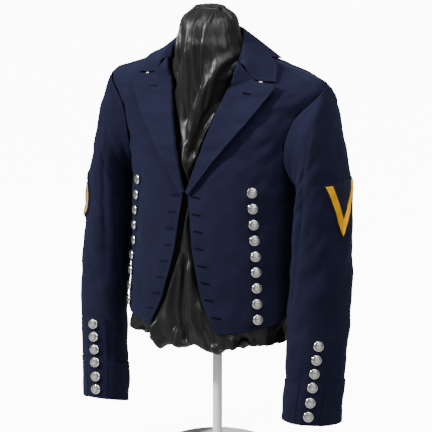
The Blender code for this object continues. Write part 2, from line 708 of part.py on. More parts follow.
def lapel_place(u, v):
    """Width and height at a share u across the lapel and v up it."""
    roll = np.stack([CLOSURE[0] + (GORGE_TOP[0] - CLOSURE[0]) * v,
                     CLOSURE[1] + (GORGE_TOP[1] - CLOSURE[1]) * v], -1)
    edge_x = smooth_rows(LAPEL_EDGE, v * (len(LAPEL_EDGE) - 1))
    plain = roll + (edge_x - roll) * u[..., None]
    top_u = (0.0, 0.36, 1.0)
    top = np.stack([np.interp(u, top_u, (GORGE_TOP[0], GORGE_END[0], LAPEL_TIP[0])),
                    np.interp(u, top_u, (GORGE_TOP[1], GORGE_END[1], LAPEL_TIP[1]))], -1)
    straight = np.array(GORGE_TOP) + (np.array(LAPEL_TIP) - np.array(GORGE_TOP)) * u[..., None]
    return plain + (top - straight) * v[..., None] ** 3


def build_lapel(side, material):
    across = np.array([0.0, 0.12, 0.24, 0.36, 0.52, 0.68, 0.84, 1.0])
    up = np.linspace(0.0, 1.0, 14)
    u, v = np.meshgrid(across, up)
    place = lapel_place(u, v)
    place[..., 1] -= NOTCH_GAP * v ** 6
    angle, level = front_at(place[..., 0], place[..., 1])
    lift = LAPEL_LIFT + (LAPEL_EDGE_LIFT - LAPEL_LIFT) * u
    offset = lift - fold_depth(TORSO_FOLDS, side, TORSO_METRIC, angle, level)
    flat = body_section(angle, level) + body_normal(angle, level) * offset[..., None]
    roll = flat[:, :1]
    outward = roll - flat[:, 1:2]
    outward /= np.linalg.norm(outward, axis=-1, keepdims=True)
    normal = body_normal(angle[:, :1], level[:, :1])
    turn = [roll + outward * across + normal * (rise - LAPEL_LIFT) for across, rise in ROLL_TURN]
    points = np.concatenate(turn + [flat], axis=1)
    return sheet("lapel_" + side, flip(side, points), material)


def front_point(x, z, lift):
    angle, level = front_at(x, z)
    return body_section(angle, level) + body_normal(angle, level) * lift


def collar_controls():
    """Six points across the collar at each station, from the back to the front end."""
    stations = []
    for row in COLLAR_STATIONS:
        seam_angle, x, y, z, edge_angle, edge_level, lift = row
        bottom = body_section(seam_angle, NECK_LEVEL) + np.array([0.0, 0.0, COLLAR_SEAM_RISE])
        roll = np.array([x, y, z])
        edge = body_section(edge_angle, edge_level) + body_normal(edge_angle, edge_level) * lift
        away = roll - np.array([0.0, NECK_MIDDLE_Y, z])
        away /= np.linalg.norm(away)
        stand = bottom * 0.45 + roll * 0.55 + away * 0.0015
        over = roll + away * COLLAR_ROLL * 1.7 - np.array([0.0, 0.0, COLLAR_ROLL])
        middle = over * 0.5 + edge * 0.5 + away * 0.001
        stations.append([bottom, stand, roll, over, middle, edge])
    for seam, roll, middle, edge in COLLAR_FRONT:
        bottom = front_point(*seam, 0.0) + COLLAR_INSIDE * 0.0026
        top = np.array(roll)
        stand = bottom * 0.5 + top * 0.5 + COLLAR_INSIDE * 0.0012
        over = front_point(seam[0] + COLLAR_OVER_STEP[0], seam[1] + COLLAR_OVER_STEP[1],
                           COLLAR_LIFT + 0.001)
        stations.append([bottom, stand, top, over, front_point(*middle, COLLAR_LIFT),
                         front_point(*edge, COLLAR_LIFT + COLLAR_EDGE_EXTRA)])
    return np.array(stations)


def build_collar(material):
    half = collar_controls()
    mirror = half[:0:-1] * np.array([-1.0, 1.0, 1.0])
    whole = np.concatenate([mirror, half])
    count = len(whole) - 1
    along = np.linspace(0, count, 25)
    rows = smooth_rows(whole.reshape(count + 1, -1), along).reshape(len(along), 6, 3)
    across = np.array([0.0, 0.8, 1.6, 2.0, 2.4, 2.9, 3.5, 4.2, 5.0])
    points = np.array([smooth_rows(row, across) for row in rows])
    return sheet("collar", points, material)


def build_button(name, place, normal, material):
    button = turned(name, BUTTON_PROFILE, BUTTON_SIDES, material)
    stand_on(button, place, normal)
    return button


def build_front_buttons(side, material):
    share = np.linspace(0, 1, FRONT_BUTTONS)
    x = FRONT_BUTTON_TOP[0] + (FRONT_BUTTON_BOTTOM[0] - FRONT_BUTTON_TOP[0]) * share
    z = FRONT_BUTTON_TOP[1] + (FRONT_BUTTON_BOTTOM[1] - FRONT_BUTTON_TOP[1]) * share
    angle, level = front_at(x, z)
    places = flip(side, body_point(side, angle, level, WALL / 2 + LAP_GAP))
    normals = flip(side, body_normal(angle, level))
    for index in range(FRONT_BUTTONS):
        name = "front_button_%s_%d" % (side, index + 1)
        build_button(name, places[index], normals[index], material)


def build_cuff_buttons(side, material):
    station = np.linspace(*CUFF_BUTTON_STATIONS, CUFF_BUTTONS)
    lift = PLACKET_LIFT + SKIN / 2 + LAP_GAP
    phi = phi_at(side, placket_arc(side, station), 8.0)
    places = flip(side, sleeve_point(side, phi, station, lift))
    normals = flip(side, sleeve_normal(side, phi, station))
    for index in range(CUFF_BUTTONS):
        name = "cuff_button_%s_%d" % (side, index + 1)
        build_button(name, places[index], normals[index], material)


def bust_point(angle, level):
    """Point of the covered bust under the jacket, drawn in from the jacket's own surface."""
    half = np.abs(angle)
    inset = by_steps(BUST_INSET, level)
    ridge = ease(1 - np.abs(half - 90) / SHOULDER_REST_ANGLE) * ease((level - 5.9) / 0.25)
    inset = inset + (BUST_REST - inset) * ridge
    ahead = ease((AHEAD_ANGLES[1] - half) / (AHEAD_ANGLES[1] - AHEAD_ANGLES[0]))[..., None]
    normal = body_normal(half, level) * (1 - ahead) + np.array([0.0, -1.0, 0.0]) * ahead
    place = body_section(half, level) - normal * inset[..., None]
    opening = by_steps(FRONT_EDGE, place[..., 2]) - DRAPE_MARGIN
    inside = ease((opening - place[..., 0]) / DRAPE_FADE) * (half < 90)
    forward = np.minimum(drape_line(place[..., 0], place[..., 2]), place[..., 1])
    place[..., 1] += (forward - place[..., 1]) * inside
    place[..., 0] *= np.where(angle < 0, -1.0, 1.0)
    return place


def drape_line(x, z):
    """How far ahead the cover hangs between the chest and the front of the neck."""
    foot_z, foot_half, foot_y = DRAPE_FOOT
    neck_z, neck_half, neck_y, _ = NECK_SECTIONS[0]
    foot = foot_y * np.sqrt(np.clip(1 - (x / foot_half) ** 2, 0, 1))
    neck = NECK_MIDDLE_Y + (neck_y - NECK_MIDDLE_Y) * np.sqrt(np.clip(1 - (x / neck_half) ** 2, 0, 1))
    share = (z - foot_z) / (neck_z - foot_z)
    return np.where(share > 0, foot + (neck - foot) * share, 0.0)


def build_bust(material):
    angle = BUST_ANGLES
    levels = np.concatenate([BUST_LEVELS, torso_levels()[2]])
    rings = []
    for radius in BUST_BOTTOM_RADII:
        ring = bust_point(angle, np.full_like(angle, levels[0]))
        ring[:, :2] *= radius
        ring[:, 2] = BUST_BOTTOM_Z if radius < 1 else ring[:, 2]
        rings.append(ring)
    rings += [bust_point(angle, np.full_like(angle, level)) for level in levels[1:]]
    turn = np.radians(angle)
    for z, half_width, front_y, back_y in NECK_SECTIONS:
        depth = np.where(np.cos(turn) > 0, NECK_MIDDLE_Y - front_y, back_y - NECK_MIDDLE_Y)
        rings.append(np.stack([half_width * np.sin(turn), NECK_MIDDLE_Y - depth * np.cos(turn),
                               np.full_like(turn, z)], -1))
    return loft("bust", np.array(rings), material)


def build_stand(material):
    base = turned("base", BASE_PROFILE, 36, material)
    socket = turned("pole_socket", SOCKET_PROFILE, 24, material)
    pole = turned("pole", ((POLE_RADIUS, SOCKET_PROFILE[-1][1] + METAL_GAP),
                           (POLE_RADIUS, RISE + BUST_BOTTOM_Z - METAL_GAP)), 16, material)
    for item in (base, socket, pole):
        item.location.z = 0.0


def build_all():
    clear_scene()
    navy = make_material("wool_navy", (0.012, 0.016, 0.045), 0.85)
    satin = make_material("satin_black", (0.008, 0.008, 0.010), 0.35)
    nickel = make_material("button_nickel", (0.62, 0.60, 0.57), 0.30, 1.0)
    gold = make_material("braid_gold", (0.75, 0.42, 0.05), 0.80)
    white = make_material("stand_white", (0.80, 0.80, 0.78), 0.45)
    for side in ("left", "right"):
        build_front(side, navy)
        _, side_top = build_side_body(side, navy)
        build_back(side, side_top, navy)
        build_sleeve(side, "top_sleeve", TOP_SLEEVE_PHI, navy)
        build_sleeve(side, "under_sleeve", UNDER_SLEEVE_PHI, navy)
        build_placket(side, navy)
        build_cuff(side, navy)
        build_lapel(side, navy)
        build_front_buttons(side, nickel)
        build_cuff_buttons(side, nickel)
    build_collar(navy)
    build_chevron(navy, gold)
    build_badge(navy, gold)
    build_bust(satin)
    build_stand(white)


build_all()
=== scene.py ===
"""Looks of a military parade jacket on a covered display bust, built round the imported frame.

Metres, +Z up, the wearer faces -Y and the wearer's left is +X. The jacket is drawn from the
same sections as its solids, whose heights are measured from a level RISE above the stand's
underside. Each panel, mark and button is drawn finely here and stands for its solid.
"""
import math

import bpy
import numpy as np
from mathutils import Matrix, Vector


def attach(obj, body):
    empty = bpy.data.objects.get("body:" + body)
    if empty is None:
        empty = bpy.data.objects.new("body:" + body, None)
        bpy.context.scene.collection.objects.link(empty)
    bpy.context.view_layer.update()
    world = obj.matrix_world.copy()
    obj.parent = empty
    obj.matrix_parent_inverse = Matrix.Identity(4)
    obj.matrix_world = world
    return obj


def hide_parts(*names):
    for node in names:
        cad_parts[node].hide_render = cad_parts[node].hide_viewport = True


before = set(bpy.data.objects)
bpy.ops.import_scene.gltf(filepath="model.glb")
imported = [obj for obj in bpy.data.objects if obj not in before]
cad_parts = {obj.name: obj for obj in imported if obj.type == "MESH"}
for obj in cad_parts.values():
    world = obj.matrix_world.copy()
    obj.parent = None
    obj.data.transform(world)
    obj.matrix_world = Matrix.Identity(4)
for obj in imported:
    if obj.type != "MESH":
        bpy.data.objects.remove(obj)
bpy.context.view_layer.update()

SIDES = ("left", "right")
RISE = 0.060

# Cloth, seams and laps
WALL = 0.0018
SKIN = 0.0014
SEAM_HALF_GAP = 0.0003
LAP_GAP = 0.0004
SKIN_LIFT = WALL / 2 + SKIN / 2 + LAP_GAP
CUFF_LIFT = SKIN_LIFT + 0.0002
PLACKET_LIFT = SKIN_LIFT + 0.0003
EDGE_ROUND = 0.7
EDGE_THIN = 0.35
EDGE_STEPS = (0.0, 0.0003, 0.0008, 0.0016, 0.0030, 0.0042, 0.0050, 0.0058, 0.0075)
STITCH_INSET = 0.005
STITCH_SINK = 0.00022
STITCH_SPREAD = 0.0006
NO_STITCH = 0.05

# Torso of the jacket, one row for each level from below the hem to the neckline.
# Columns: front z, side z, back z, half width, side y, front y, back y, squareness
BODY_SECTIONS = (
    (0.170, 0.170, 0.170, 0.164, 0.000, -0.137, 0.112, 2.4),
    (0.250, 0.250, 0.250, 0.162, 0.000, -0.135, 0.110, 2.4),
    (0.360, 0.360, 0.360, 0.158, 0.000, -0.127, 0.104, 2.3),
    (0.475, 0.475, 0.475, 0.162, 0.000, -0.116, 0.108, 2.2),
    (0.545, 0.545, 0.550, 0.172, 0.000, -0.104, 0.116, 2.2),
    (0.600, 0.605, 0.615, 0.190, 0.002, -0.088, 0.112, 2.2),
    (0.636, 0.657, 0.665, 0.216, 0.002, -0.070, 0.095, 2.0),
    (0.655, 0.687, 0.698, 0.145, 0.000, -0.062, 0.070, 2.0),
    (0.668, 0.717, 0.722, 0.078, -0.022, -0.080, 0.035, 2.0),
)
TIP_LEVEL = 6.0
NECK_LEVEL = 8.0
TORSO_CENTRE = np.array([0.0, 0.0, 0.45])
FRONT_DEPTH = 0.10
OUTWARD_SHARE = np.array([1.0, 1.0, 0.35])

# Hem height by angle, and the front edge as height and width from hem to neck point
HEM_BY_ANGLE = ((0, 0.226), (24, 0.228), (60, 0.238), (90, 0.250), (130, 0.247), (180, 0.236))
FRONT_EDGE = ((0.150, 0.098), (0.228, 0.065), (0.280, 0.040), (0.365, 0.018), (0.471, 0.0045),
              (0.695, 0.0725), (0.717, 0.0770))
CLOSURE = (0.0045, 0.471)
GORGE_TOP = (0.0725, 0.695)
GORGE_END = (0.099, 0.668)
LAPEL_TIP = (0.145, 0.657)
LAPEL_EDGE = ((0.0085, 0.4690), (0.0255, 0.4920), (0.0490, 0.5260), (0.0745, 0.5600),
              (0.1065, 0.6025), (0.1450, 0.6570))

# Seams of the torso, as angles from the centre front
SIDE_SEAM = 88.0
BACK_SEAM = ((0.0, 140.0), (2.0, 138.0), (3.2, 133.0), (4.0, 124.0), (4.6, 114.0))
SHOULDER_SEAM = 90.0
SIDE_TOP_ROOM = 1.5

# Armhole: a closed curve round the side of the torso
UNDERARM_LEVEL = 3.05
ARMHOLE_FRONT_REACH = 28.0
ARMHOLE_BACK_REACH = 32.0
ARMHOLE_LAP = 0.0016
SHOULDER_LAP_SHARE = 1.6
SHOULDER_LAP_LIFT = 0.0005

# Sleeve, one row for each ring from the armhole to the wrist.
# Columns: outer x, outer z, inner x, inner z, middle y, depth ahead, depth behind, turn
SLEEVE_SECTIONS = (
    (0.216, 0.655, 0.168, 0.478, 0.002, 0.062, 0.068, 0.0),
    (0.222, 0.641, 0.175, 0.474, 0.002, 0.067, 0.072, 0.0),
    (0.230, 0.604, 0.177, 0.466, 0.000, 0.069, 0.075, 0.0),
    (0.243, 0.545, 0.176, 0.445, -0.002, 0.070, 0.074, 3.0),
    (0.255, 0.480, 0.173, 0.415, -0.004, 0.068, 0.070, 8.0),
    (0.259, 0.400, 0.173, 0.355, -0.008, 0.066, 0.066, 15.0),
    (0.262, 0.325, 0.174, 0.300, -0.014, 0.064, 0.063, 22.0),
    (0.262, 0.240, 0.176, 0.228, -0.024, 0.062, 0.060, 28.0),
    (0.262, 0.150, 0.178, 0.146, -0.036, 0.058, 0.056, 30.0),
    (0.260, 0.064, 0.179, 0.068, -0.048, 0.055, 0.054, 30.0),
)
CUFF_STATION = 9.0
CUFF_TOP_STATION = 8.10
FRONT_SLEEVE_SEAM = 125.0
BACK_SLEEVE_SEAM = 230.0

# How each arm hangs: out at the elbow, out, ahead and down at the wrist, the cuff's tilt
HANG = {"left": (0.0, 0.0, 0.0, 0.0, 0.14), "right": (0.018, -0.015, 0.020, 0.026, 0.36)}

# Folds: side, first angle and level, last angle and level, half width and depth
TORSO_FOLDS = (
    ("left", 48, 3.6, 66, 4.3, 0.012, 0.0030),
    ("left", 62, 2.75, 88, 2.95, 0.008, 0.0024),
    ("left", 66, 2.35, 90, 2.45, 0.009, 0.0022),
    ("left", 120, 2.5, 150, 2.9, 0.012, 0.0024),
    ("right", 50, 3.7, 66, 4.3, 0.012, 0.0026),
    ("right", 64, 2.6, 88, 2.8, 0.009, 0.0022),
    ("right", 118, 2.7, 150, 3.0, 0.012, 0.0022),
    ("left", 30, 3.55, 56, 4.70, 0.008, 0.0016),
    ("left", 56, 3.10, 86, 3.30, 0.006, 0.0016),
    ("left", 54, 2.02, 80, 2.12, 0.006, 0.0010),
    ("left", 44, 2.55, 62, 2.50, 0.005, 0.0008),
    ("left", 130, 5.2, 160, 4.9, 0.014, 0.0018),
    ("left", 128, 1.9, 165, 2.2, 0.010, 0.0014),
    ("right", 34, 3.60, 58, 4.60, 0.008, 0.0014),
    ("right", 58, 3.05, 86, 3.20, 0.006, 0.0014),
    ("right", 46, 2.20, 80, 2.30, 0.006, 0.0010),
    ("right", 128, 5.1, 162, 4.8, 0.014, 0.0018),
    ("right", 126, 2.0, 166, 2.1, 0.010, 0.0014),
)
SLEEVE_FOLDS = (
    ("left", 88, 1.8, 92, 6.4, 0.009, 0.0040),
    ("left", 20, 5.4, 70, 6.2, 0.012, 0.0022),
    ("left", 190, 3.6, 230, 5.4, 0.012, 0.0030),
    ("left", 300, 4.8, 340, 6.0, 0.012, 0.0026),
    ("right", 100, 1.8, 104, 5.8, 0.009, 0.0036),
    ("right", 150, 2.6, 152, 6.8, 0.010, 0.0036),
    ("right", 30, 5.2, 76, 6.0, 0.012, 0.0024),
    ("right", 300, 4.6, 338, 5.8, 0.012, 0.0026),
    ("left", 60, 1.3, 88, 2.6, 0.007, 0.0018),
    ("left", 56, 6.6, 100, 6.3, 0.009, 0.0016),
    ("left", 30, 4.9, 84, 5.2, 0.008, 0.0012),
    ("left", 110, 5.6, 160, 6.2, 0.010, 0.0020),
    ("left", 180, 6.0, 230, 6.6, 0.010, 0.0018),
    ("left", 350, 6.6, 359, 7.3, 0.014, 0.0010),
    ("right", 66, 1.4, 92, 2.6, 0.007, 0.0016),
    ("right", 50, 6.5, 96, 6.2, 0.009, 0.0016),
    ("right", 40, 4.6, 90, 4.9, 0.008, 0.0012),
    ("right", 120, 5.4, 165, 6.0, 0.010, 0.0020),
    ("right", 190, 5.8, 235, 6.5, 0.010, 0.0018),
)
TORSO_METRIC = (0.0024, 0.095)
SLEEVE_METRIC = (0.0011, 0.080)

# Slow unevenness of pressed wool: wave length, direction in degrees, phase and depth
WOOL_WAVES = (
    (0.064, 20, 0.3, 0.00046),
    (0.047, 75, 1.9, 0.00036),
    (0.036, 130, 4.1, 0.00030),
    (0.029, 165, 2.7, 0.00020),
    (0.083, 100, 5.2, 0.00060),
    (0.021, 50, 0.9, 0.00010),
)
PUCKERS = 26
PUCKER_DEPTH = 0.00035

# Collar stations from the centre back to the side: where the stand is sewn, the roll at
# the top, the free edge of the fall, and how far the fall stands off the shoulder.
# Columns: seam angle, roll x, roll y, roll z, edge angle, edge level, lift
COLLAR_STATIONS = (
    (180.0, 0.000, 0.026, 0.752, 180.0, 6.92, 0.0034),
    (140.0, 0.038, 0.017, 0.751, 141.0, 7.02, 0.0031),
    (110.0, 0.056, -0.005, 0.745, 113.0, 7.28, 0.0030),
    (92.0, 0.066, -0.026, 0.732, 93.0, 7.46, 0.0031),
)
COLLAR_SEAM_RISE = 0.0024
COLLAR_ROLL = 0.0042
COLLAR_LIFT = 0.0054
COLLAR_EDGE_EXTRA = 0.0006
COLLAR_INSIDE = np.array([-1.0, 0.15, 0.25]) / 1.042
COLLAR_OVER_STEP = (0.007, -0.004)
COLLAR_FRONT = (
    ((0.0750, 0.7060), (0.0712, -0.0390, 0.7170), (0.1000, 0.6940), (0.1280, 0.6900)),
    ((0.0725, 0.6965), (0.0690, -0.0470, 0.6990), (0.0990, 0.6700), (0.1390, 0.6645)),
)

# Lapels
LAPEL_LIFT = 0.0054
LAPEL_EDGE_LIFT = 0.0064
LAPEL_SPRING = 0.0070
LAPEL_SPRING_START = 0.3
LAPEL_SPRING_FULL = 0.75
GORGE_GAP = -0.0010
NOTCH_GAP = 0.0012
ROLL_TURN = ((0.0008, 0.0000), (0.0022, 0.0004), (0.0034, 0.0024), (0.0024, 0.0046))

# Buttons
BUTTON_RADIUS = 0.009
FRONT_BUTTONS = 9
FRONT_BUTTON_TOP = (0.116, 0.478)
FRONT_BUTTON_BOTTOM = (0.131, 0.2515)
CUFF_BUTTONS = 6
CUFF_BUTTON_STATIONS = (7.33, 8.72)

# Buttonholes: first height, spacing, distance in from the edge, length and width
HOLE_TOP_Z = 0.4655
HOLE_PITCH = 0.0301
HOLE_COUNT = 8
HOLE_INSET = 0.008
HOLE_LENGTH = 0.0150
HOLE_WIDTH = 0.0030
HOLE_DROP = 0.0012
HOLE_SINK = 0.0002
LAPEL_HOLE = ((0.0880, 0.6445), (0.1090, 0.6430))
LAPEL_HOLE_SHARE = (0.50, 0.80)

# Pale thread bar in the notch of the lapel
TACK_CLEARANCE = 0.0016
TACK_RADIUS = 0.0010
NOTCH_TACK = ((0.1100, 0.6635), (0.1170, 0.6625))

# Cuffs: a turned band crossed by an upright placket
PLACKET_STATION = 7.16
PLACKET_HALF_WIDTH = 0.0215
PLACKET_ARC = {"left": (0.026, 0.037), "right": (0.065, 0.064)}

# Sleeve marks, centred on the outer line of each sleeve
CHEVRON_TIP_Z = 0.403
CHEVRON_TOP_Z = 0.494
CHEVRON_HALF_WIDTH = 0.0430
CHEVRON_THICK = 0.028
CHEVRON_MARGIN = 0.0035
CHEVRON_RIBS = 7
MARK_STATION = 4.6
MARK_LIFT = SKIN_LIFT + SKIN + LAP_GAP
BADGE_CENTRE_Z = 0.430
BADGE_ARC = 0.027
BADGE_HALF_WIDTH = 0.031
BADGE_HALF_HEIGHT = 0.042
BADGE_MARGIN = 0.004
BADGE_RING_INNER = 0.74
BADGE_LEAVES = 22
BADGE_STAR_RADIUS = 0.019

# Bust and its cover. Neck sections: height, half width, front y, back y
BUST_BOTTOM_Z = 0.190
NECK_SECTIONS = (
    (0.724, 0.0635, -0.090, 0.024),
    (0.743, 0.0570, -0.086, 0.018),
    (0.762, 0.0528, -0.081, 0.018),
    (0.7765, 0.0458, -0.071, 0.016),
    (0.789, 0.0285, -0.052, 0.000),
)
NECK_MIDDLE_Y = -0.026
CROWN_RISE = 0.006
BUST_REST = WALL / 2 + 0.0006
BUST_INSET = ((0.42, 0.001), (0.75, 0.0035), (1.0, 0.0055), (2.0, 0.012), (3.0, 0.014),
              (4.0, 0.013), (5.0, 0.012), (6.0, 0.010), (7.0, 0.009), (8.0, 0.010))
DRAPE_FOOT = (0.545, 0.172, -0.091)
DRAPE_MARGIN = 0.010
DRAPE_FADE = 0.018
AHEAD_ANGLES = (25.0, 40.0)
SHOULDER_REST_ANGLE = 22.0
COVER_FIRST_LEVEL = 0.46

# Folds of the cover: half width, height out of the cloth, then width and height points
COVER_FOLDS = (
    (0.0070, 0.0075, ((0.076, 0.725), (0.046, 0.699), (0.025, 0.656), (0.007, 0.614),
                      (-0.003, 0.550), (-0.003, 0.480))),
    (0.0052, 0.0055, ((0.077, 0.713), (0.061, 0.684), (0.047, 0.655), (0.033, 0.597),
                      (0.021, 0.560))),
    (0.0050, 0.0055, ((-0.062, 0.700), (-0.058, 0.662), (-0.036, 0.633), (-0.009, 0.554),
                      (-0.004, 0.500))),
    (0.0040, 0.0042, ((-0.014, 0.730), (-0.011, 0.683), (-0.008, 0.623), (-0.003, 0.563))),
    (0.0042, 0.0040, ((0.004, 0.740), (0.007, 0.690), (0.011, 0.646))),
    (0.0065, -0.0070, ((0.056, 0.676), (0.039, 0.630), (0.016, 0.582), (0.001, 0.524))),
    (0.0045, -0.0050, ((-0.030, 0.720), (-0.030, 0.680), (-0.023, 0.630), (-0.010, 0.585))),
    (0.0035, -0.0040, ((-0.046, 0.640), (-0.030, 0.600), (-0.014, 0.552))),
    (0.0120, -0.0034, ((0.032, 0.800), (0.036, 0.738), (0.028, 0.690))),
    (0.0034, 0.0042, ((0.000, 0.776), (0.002, 0.730), (0.003, 0.680), (0.000, 0.610))),
    (0.0036, 0.0040, ((-0.034, 0.770), (-0.036, 0.730), (-0.030, 0.680), (-0.018, 0.620))),
    (0.0048, 0.0048, ((-0.054, 0.708), (-0.045, 0.662), (-0.028, 0.600), (-0.012, 0.535),
                      (-0.005, 0.495))),
    (0.0045, 0.0040, ((0.052, 0.688), (0.044, 0.655), (0.028, 0.595), (0.012, 0.530))),
    (0.0065, -0.0100, ((0.000, 0.372), (0.000, 0.304), (0.001, 0.245), (0.006, 0.205),
                       (0.016, 0.190))),
    (0.0060, 0.0065, ((0.008, 0.350), (0.012, 0.329), (0.015, 0.298), (0.026, 0.242),
                      (0.042, 0.206))),
    (0.0060, 0.0060, ((-0.004, 0.437), (-0.013, 0.389), (-0.023, 0.310), (-0.026, 0.261),
                      (-0.033, 0.200))),
    (0.0050, -0.0045, ((-0.011, 0.335), (-0.016, 0.272), (-0.014, 0.217))),
    (0.0070, -0.0050, ((0.040, 0.262), (0.052, 0.228), (0.066, 0.200))),
    (0.0060, -0.0080, ((-0.092, 0.224), (-0.081, 0.198), (-0.064, 0.186))),
    (0.0080, 0.0070, ((-0.060, 0.232), (-0.052, 0.205), (-0.040, 0.190))),
    (0.0080, 0.0080, ((0.088, 0.226), (0.098, 0.200), (0.096, 0.184))),
    (0.0060, -0.0070, ((0.112, 0.226), (0.118, 0.202), (0.112, 0.186))),
)

# Gathers of the cover below the hem: folds in a whole turn, phase, depth, twist with height
COVER_GATHERS = (
    (9, 0.4, 0.0040, 18.0),
    (14, 2.1, 0.0028, -34.0),
    (23, 4.4, 0.0016, 52.0),
    (37, 1.2, 0.0008, -80.0),
)
GATHER_TOP_Z = 0.262
GATHER_FULL_Z = 0.222

# Fine wrinkles that fan out from the closure: turns to the radian, bend, phase and depth
COVER_WRINKLES = (
    (74.0, 34.0, 0.4, 0.00100),
    (121.0, 21.0, 2.0, 0.00065),
    (203.0, 47.0, 4.4, 0.00030),
)
WRINKLE_REACH = 0.16
PATCH_TURN_SHARE = 0.23
PATCH_RISE = 19

# How the cover swells between the front edges, and how it fades before them
COVER_SWELL = 0.0085
SWELL_TOP_Z = 0.60
SWELL_FADE = 0.06
EDGE_CLEAR = 0.004
EDGE_FADE = 0.010

# Camera: where it stands, the scale at the object, and where the frame's middle falls
CAMERA_AZIMUTH = 29.0
CAMERA_ELEVATION = 13.5
CAMERA_DISTANCE = 3.05
CAMERA_TARGET = Vector((0.0, 0.0, 0.407 + RISE))
PIXELS_PER_METRE = 547.0
FRAME_PIXELS = 432
SENSOR = 36.0
AIM_RIGHT_PIXELS = -1.5
AIM_UP_PIXELS = -1.2

# Surroundings: brightness seen by the camera and brightness that lights the jacket
SKY_SEEN = 12.0
SKY_LIGHT = 0.12
SKY_GLOSS = 0.34

# Lights: name, place, aim, width and height, watts
LIGHTS = (
    ("key_softbox", (-1.20, -1.55, 1.90), (0.0, 0.0, 0.58), (0.16, 0.16), 120.0),
    ("fill_softbox", (1.9, -1.1, 1.8), (0.15, 0.0, 0.5), (0.9, 1.2), 27.0),
    ("top_softbox", (0.5, -0.4, 2.0), (0.05, 0.0, 0.6), (0.9, 0.9), 26.0),
)


def smooth_rows(rows, station):
    """Catmull-Rom interpolation down the rows of a table, one value for each column."""
    table = np.asarray(rows, float)
    last = len(table) - 1
    station = np.clip(np.asarray(station, float), 0.0, last)
    index = np.minimum(station.astype(int), last - 1)
    t = (station - index)[..., None]
    before = table[np.maximum(index - 1, 0)]
    here = table[index]
    after = table[index + 1]
    beyond = table[np.minimum(index + 2, last)]
    return 0.5 * (2 * here + (after - before) * t
                  + (2 * before - 5 * here + 4 * after - beyond) * t ** 2
                  + (3 * here - before - 3 * after + beyond) * t ** 3)


def by_steps(table, value):
    """Straight-line reading of a short two-column table."""
    keys, values = zip(*table)
    return np.interp(value, keys, values)


def ease(value):
    value = np.clip(value, 0.0, 1.0)
    return value * value * (3 - 2 * value)


def unit(vectors):
    return vectors / np.maximum(np.linalg.norm(vectors, axis=-1, keepdims=True), 1e-12)


def fold_depth(folds, side, metric, u, v):
    """Depth of the folds at a place on the cloth, with the slow unevenness of the wool."""
    x, y = np.broadcast_arrays(u * metric[0], v * metric[1])
    depth = np.zeros(x.shape)
    for fold_side, u0, v0, u1, v1, half_width, deepest in folds:
        if fold_side != side:
            continue
        along = np.array([(u1 - u0) * metric[0], (v1 - v0) * metric[1]])
        here = np.stack([x - u0 * metric[0], y - v0 * metric[1]], -1)
        share = here @ along / (along @ along)
        miss = here - np.clip(share, 0, 1)[..., None] * along
        distance = np.linalg.norm(miss, axis=-1)
        fade = np.cos(np.clip(share - 0.5, -0.5, 0.5) * np.pi * 0.8)
        depth = depth + deepest * fade * np.exp(-(distance / half_width) ** 2)
    return depth + wool_waves(x, y, 0.0 if side == "left" else 2.0)


def wool_waves(x, y, shift):
    depth = 0.0
    for length, direction, phase, size in WOOL_WAVES:
        turn = math.radians(direction)
        along = x * math.cos(turn) + y * math.sin(turn)
        across = y * math.cos(turn) - x * math.sin(turn)
        bend = 0.6 * np.sin(2 * np.pi * across / (2.3 * length) + phase)
        depth = depth + size * np.sin(2 * np.pi * along / length + phase + shift + bend)
    return depth


def body_section(angle, level):
    """Point of the plain torso: angle 0 is the front, 90 the side, 180 the back."""
    angle, level = np.broadcast_arrays(np.asarray(angle, float), np.asarray(level, float))
    row = smooth_rows(BODY_SECTIONS, level)
    front_z, side_z, back_z, half_width, side_y, front_y, back_y, square = np.moveaxis(row, -1, 0)
    across = np.sin(np.radians(angle))
    along = np.cos(np.radians(angle))
    reach = (np.abs(across) ** square + np.abs(along) ** square) ** (-1 / square)
    facing = along > 0
    depth = np.where(facing, side_y - front_y, back_y - side_y)
    end_z = np.where(facing, front_z, back_z)
    return np.stack([half_width * reach * across,
                     side_y - depth * reach * along,
                     side_z + (end_z - side_z) * along ** 2], -1)


def surface_normal(surface, u, v, du, dv, outward):
    """Unit normal of a surface function, turned to the side that `outward` points to."""
    along_u = surface(u + du, v) - surface(u - du, v)
    along_v = surface(u, v + dv) - surface(u, v - dv)
    normal = unit(np.cross(along_u, along_v))
    turned = np.sum(normal * outward, -1, keepdims=True)
    return np.where(turned < 0, -normal, normal)


def body_normal(angle, level):
    outward = (body_section(angle, level) - TORSO_CENTRE) * OUTWARD_SHARE
    level = np.clip(level, 0.03, NECK_LEVEL - 0.03)
    return surface_normal(body_section, angle, level, 0.5, 0.02, outward)


def body_point(side, angle, level, lift=0.0):
    """Point on the jacket's torso with its folds, `lift` outside the middle of the cloth."""
    angle, level = np.broadcast_arrays(np.asarray(angle, float), np.asarray(level, float))
    offset = lift - fold_depth(TORSO_FOLDS, side, TORSO_METRIC, angle, level)
    return body_section(angle, level) + body_normal(angle, level) * np.asarray(offset)[..., None]


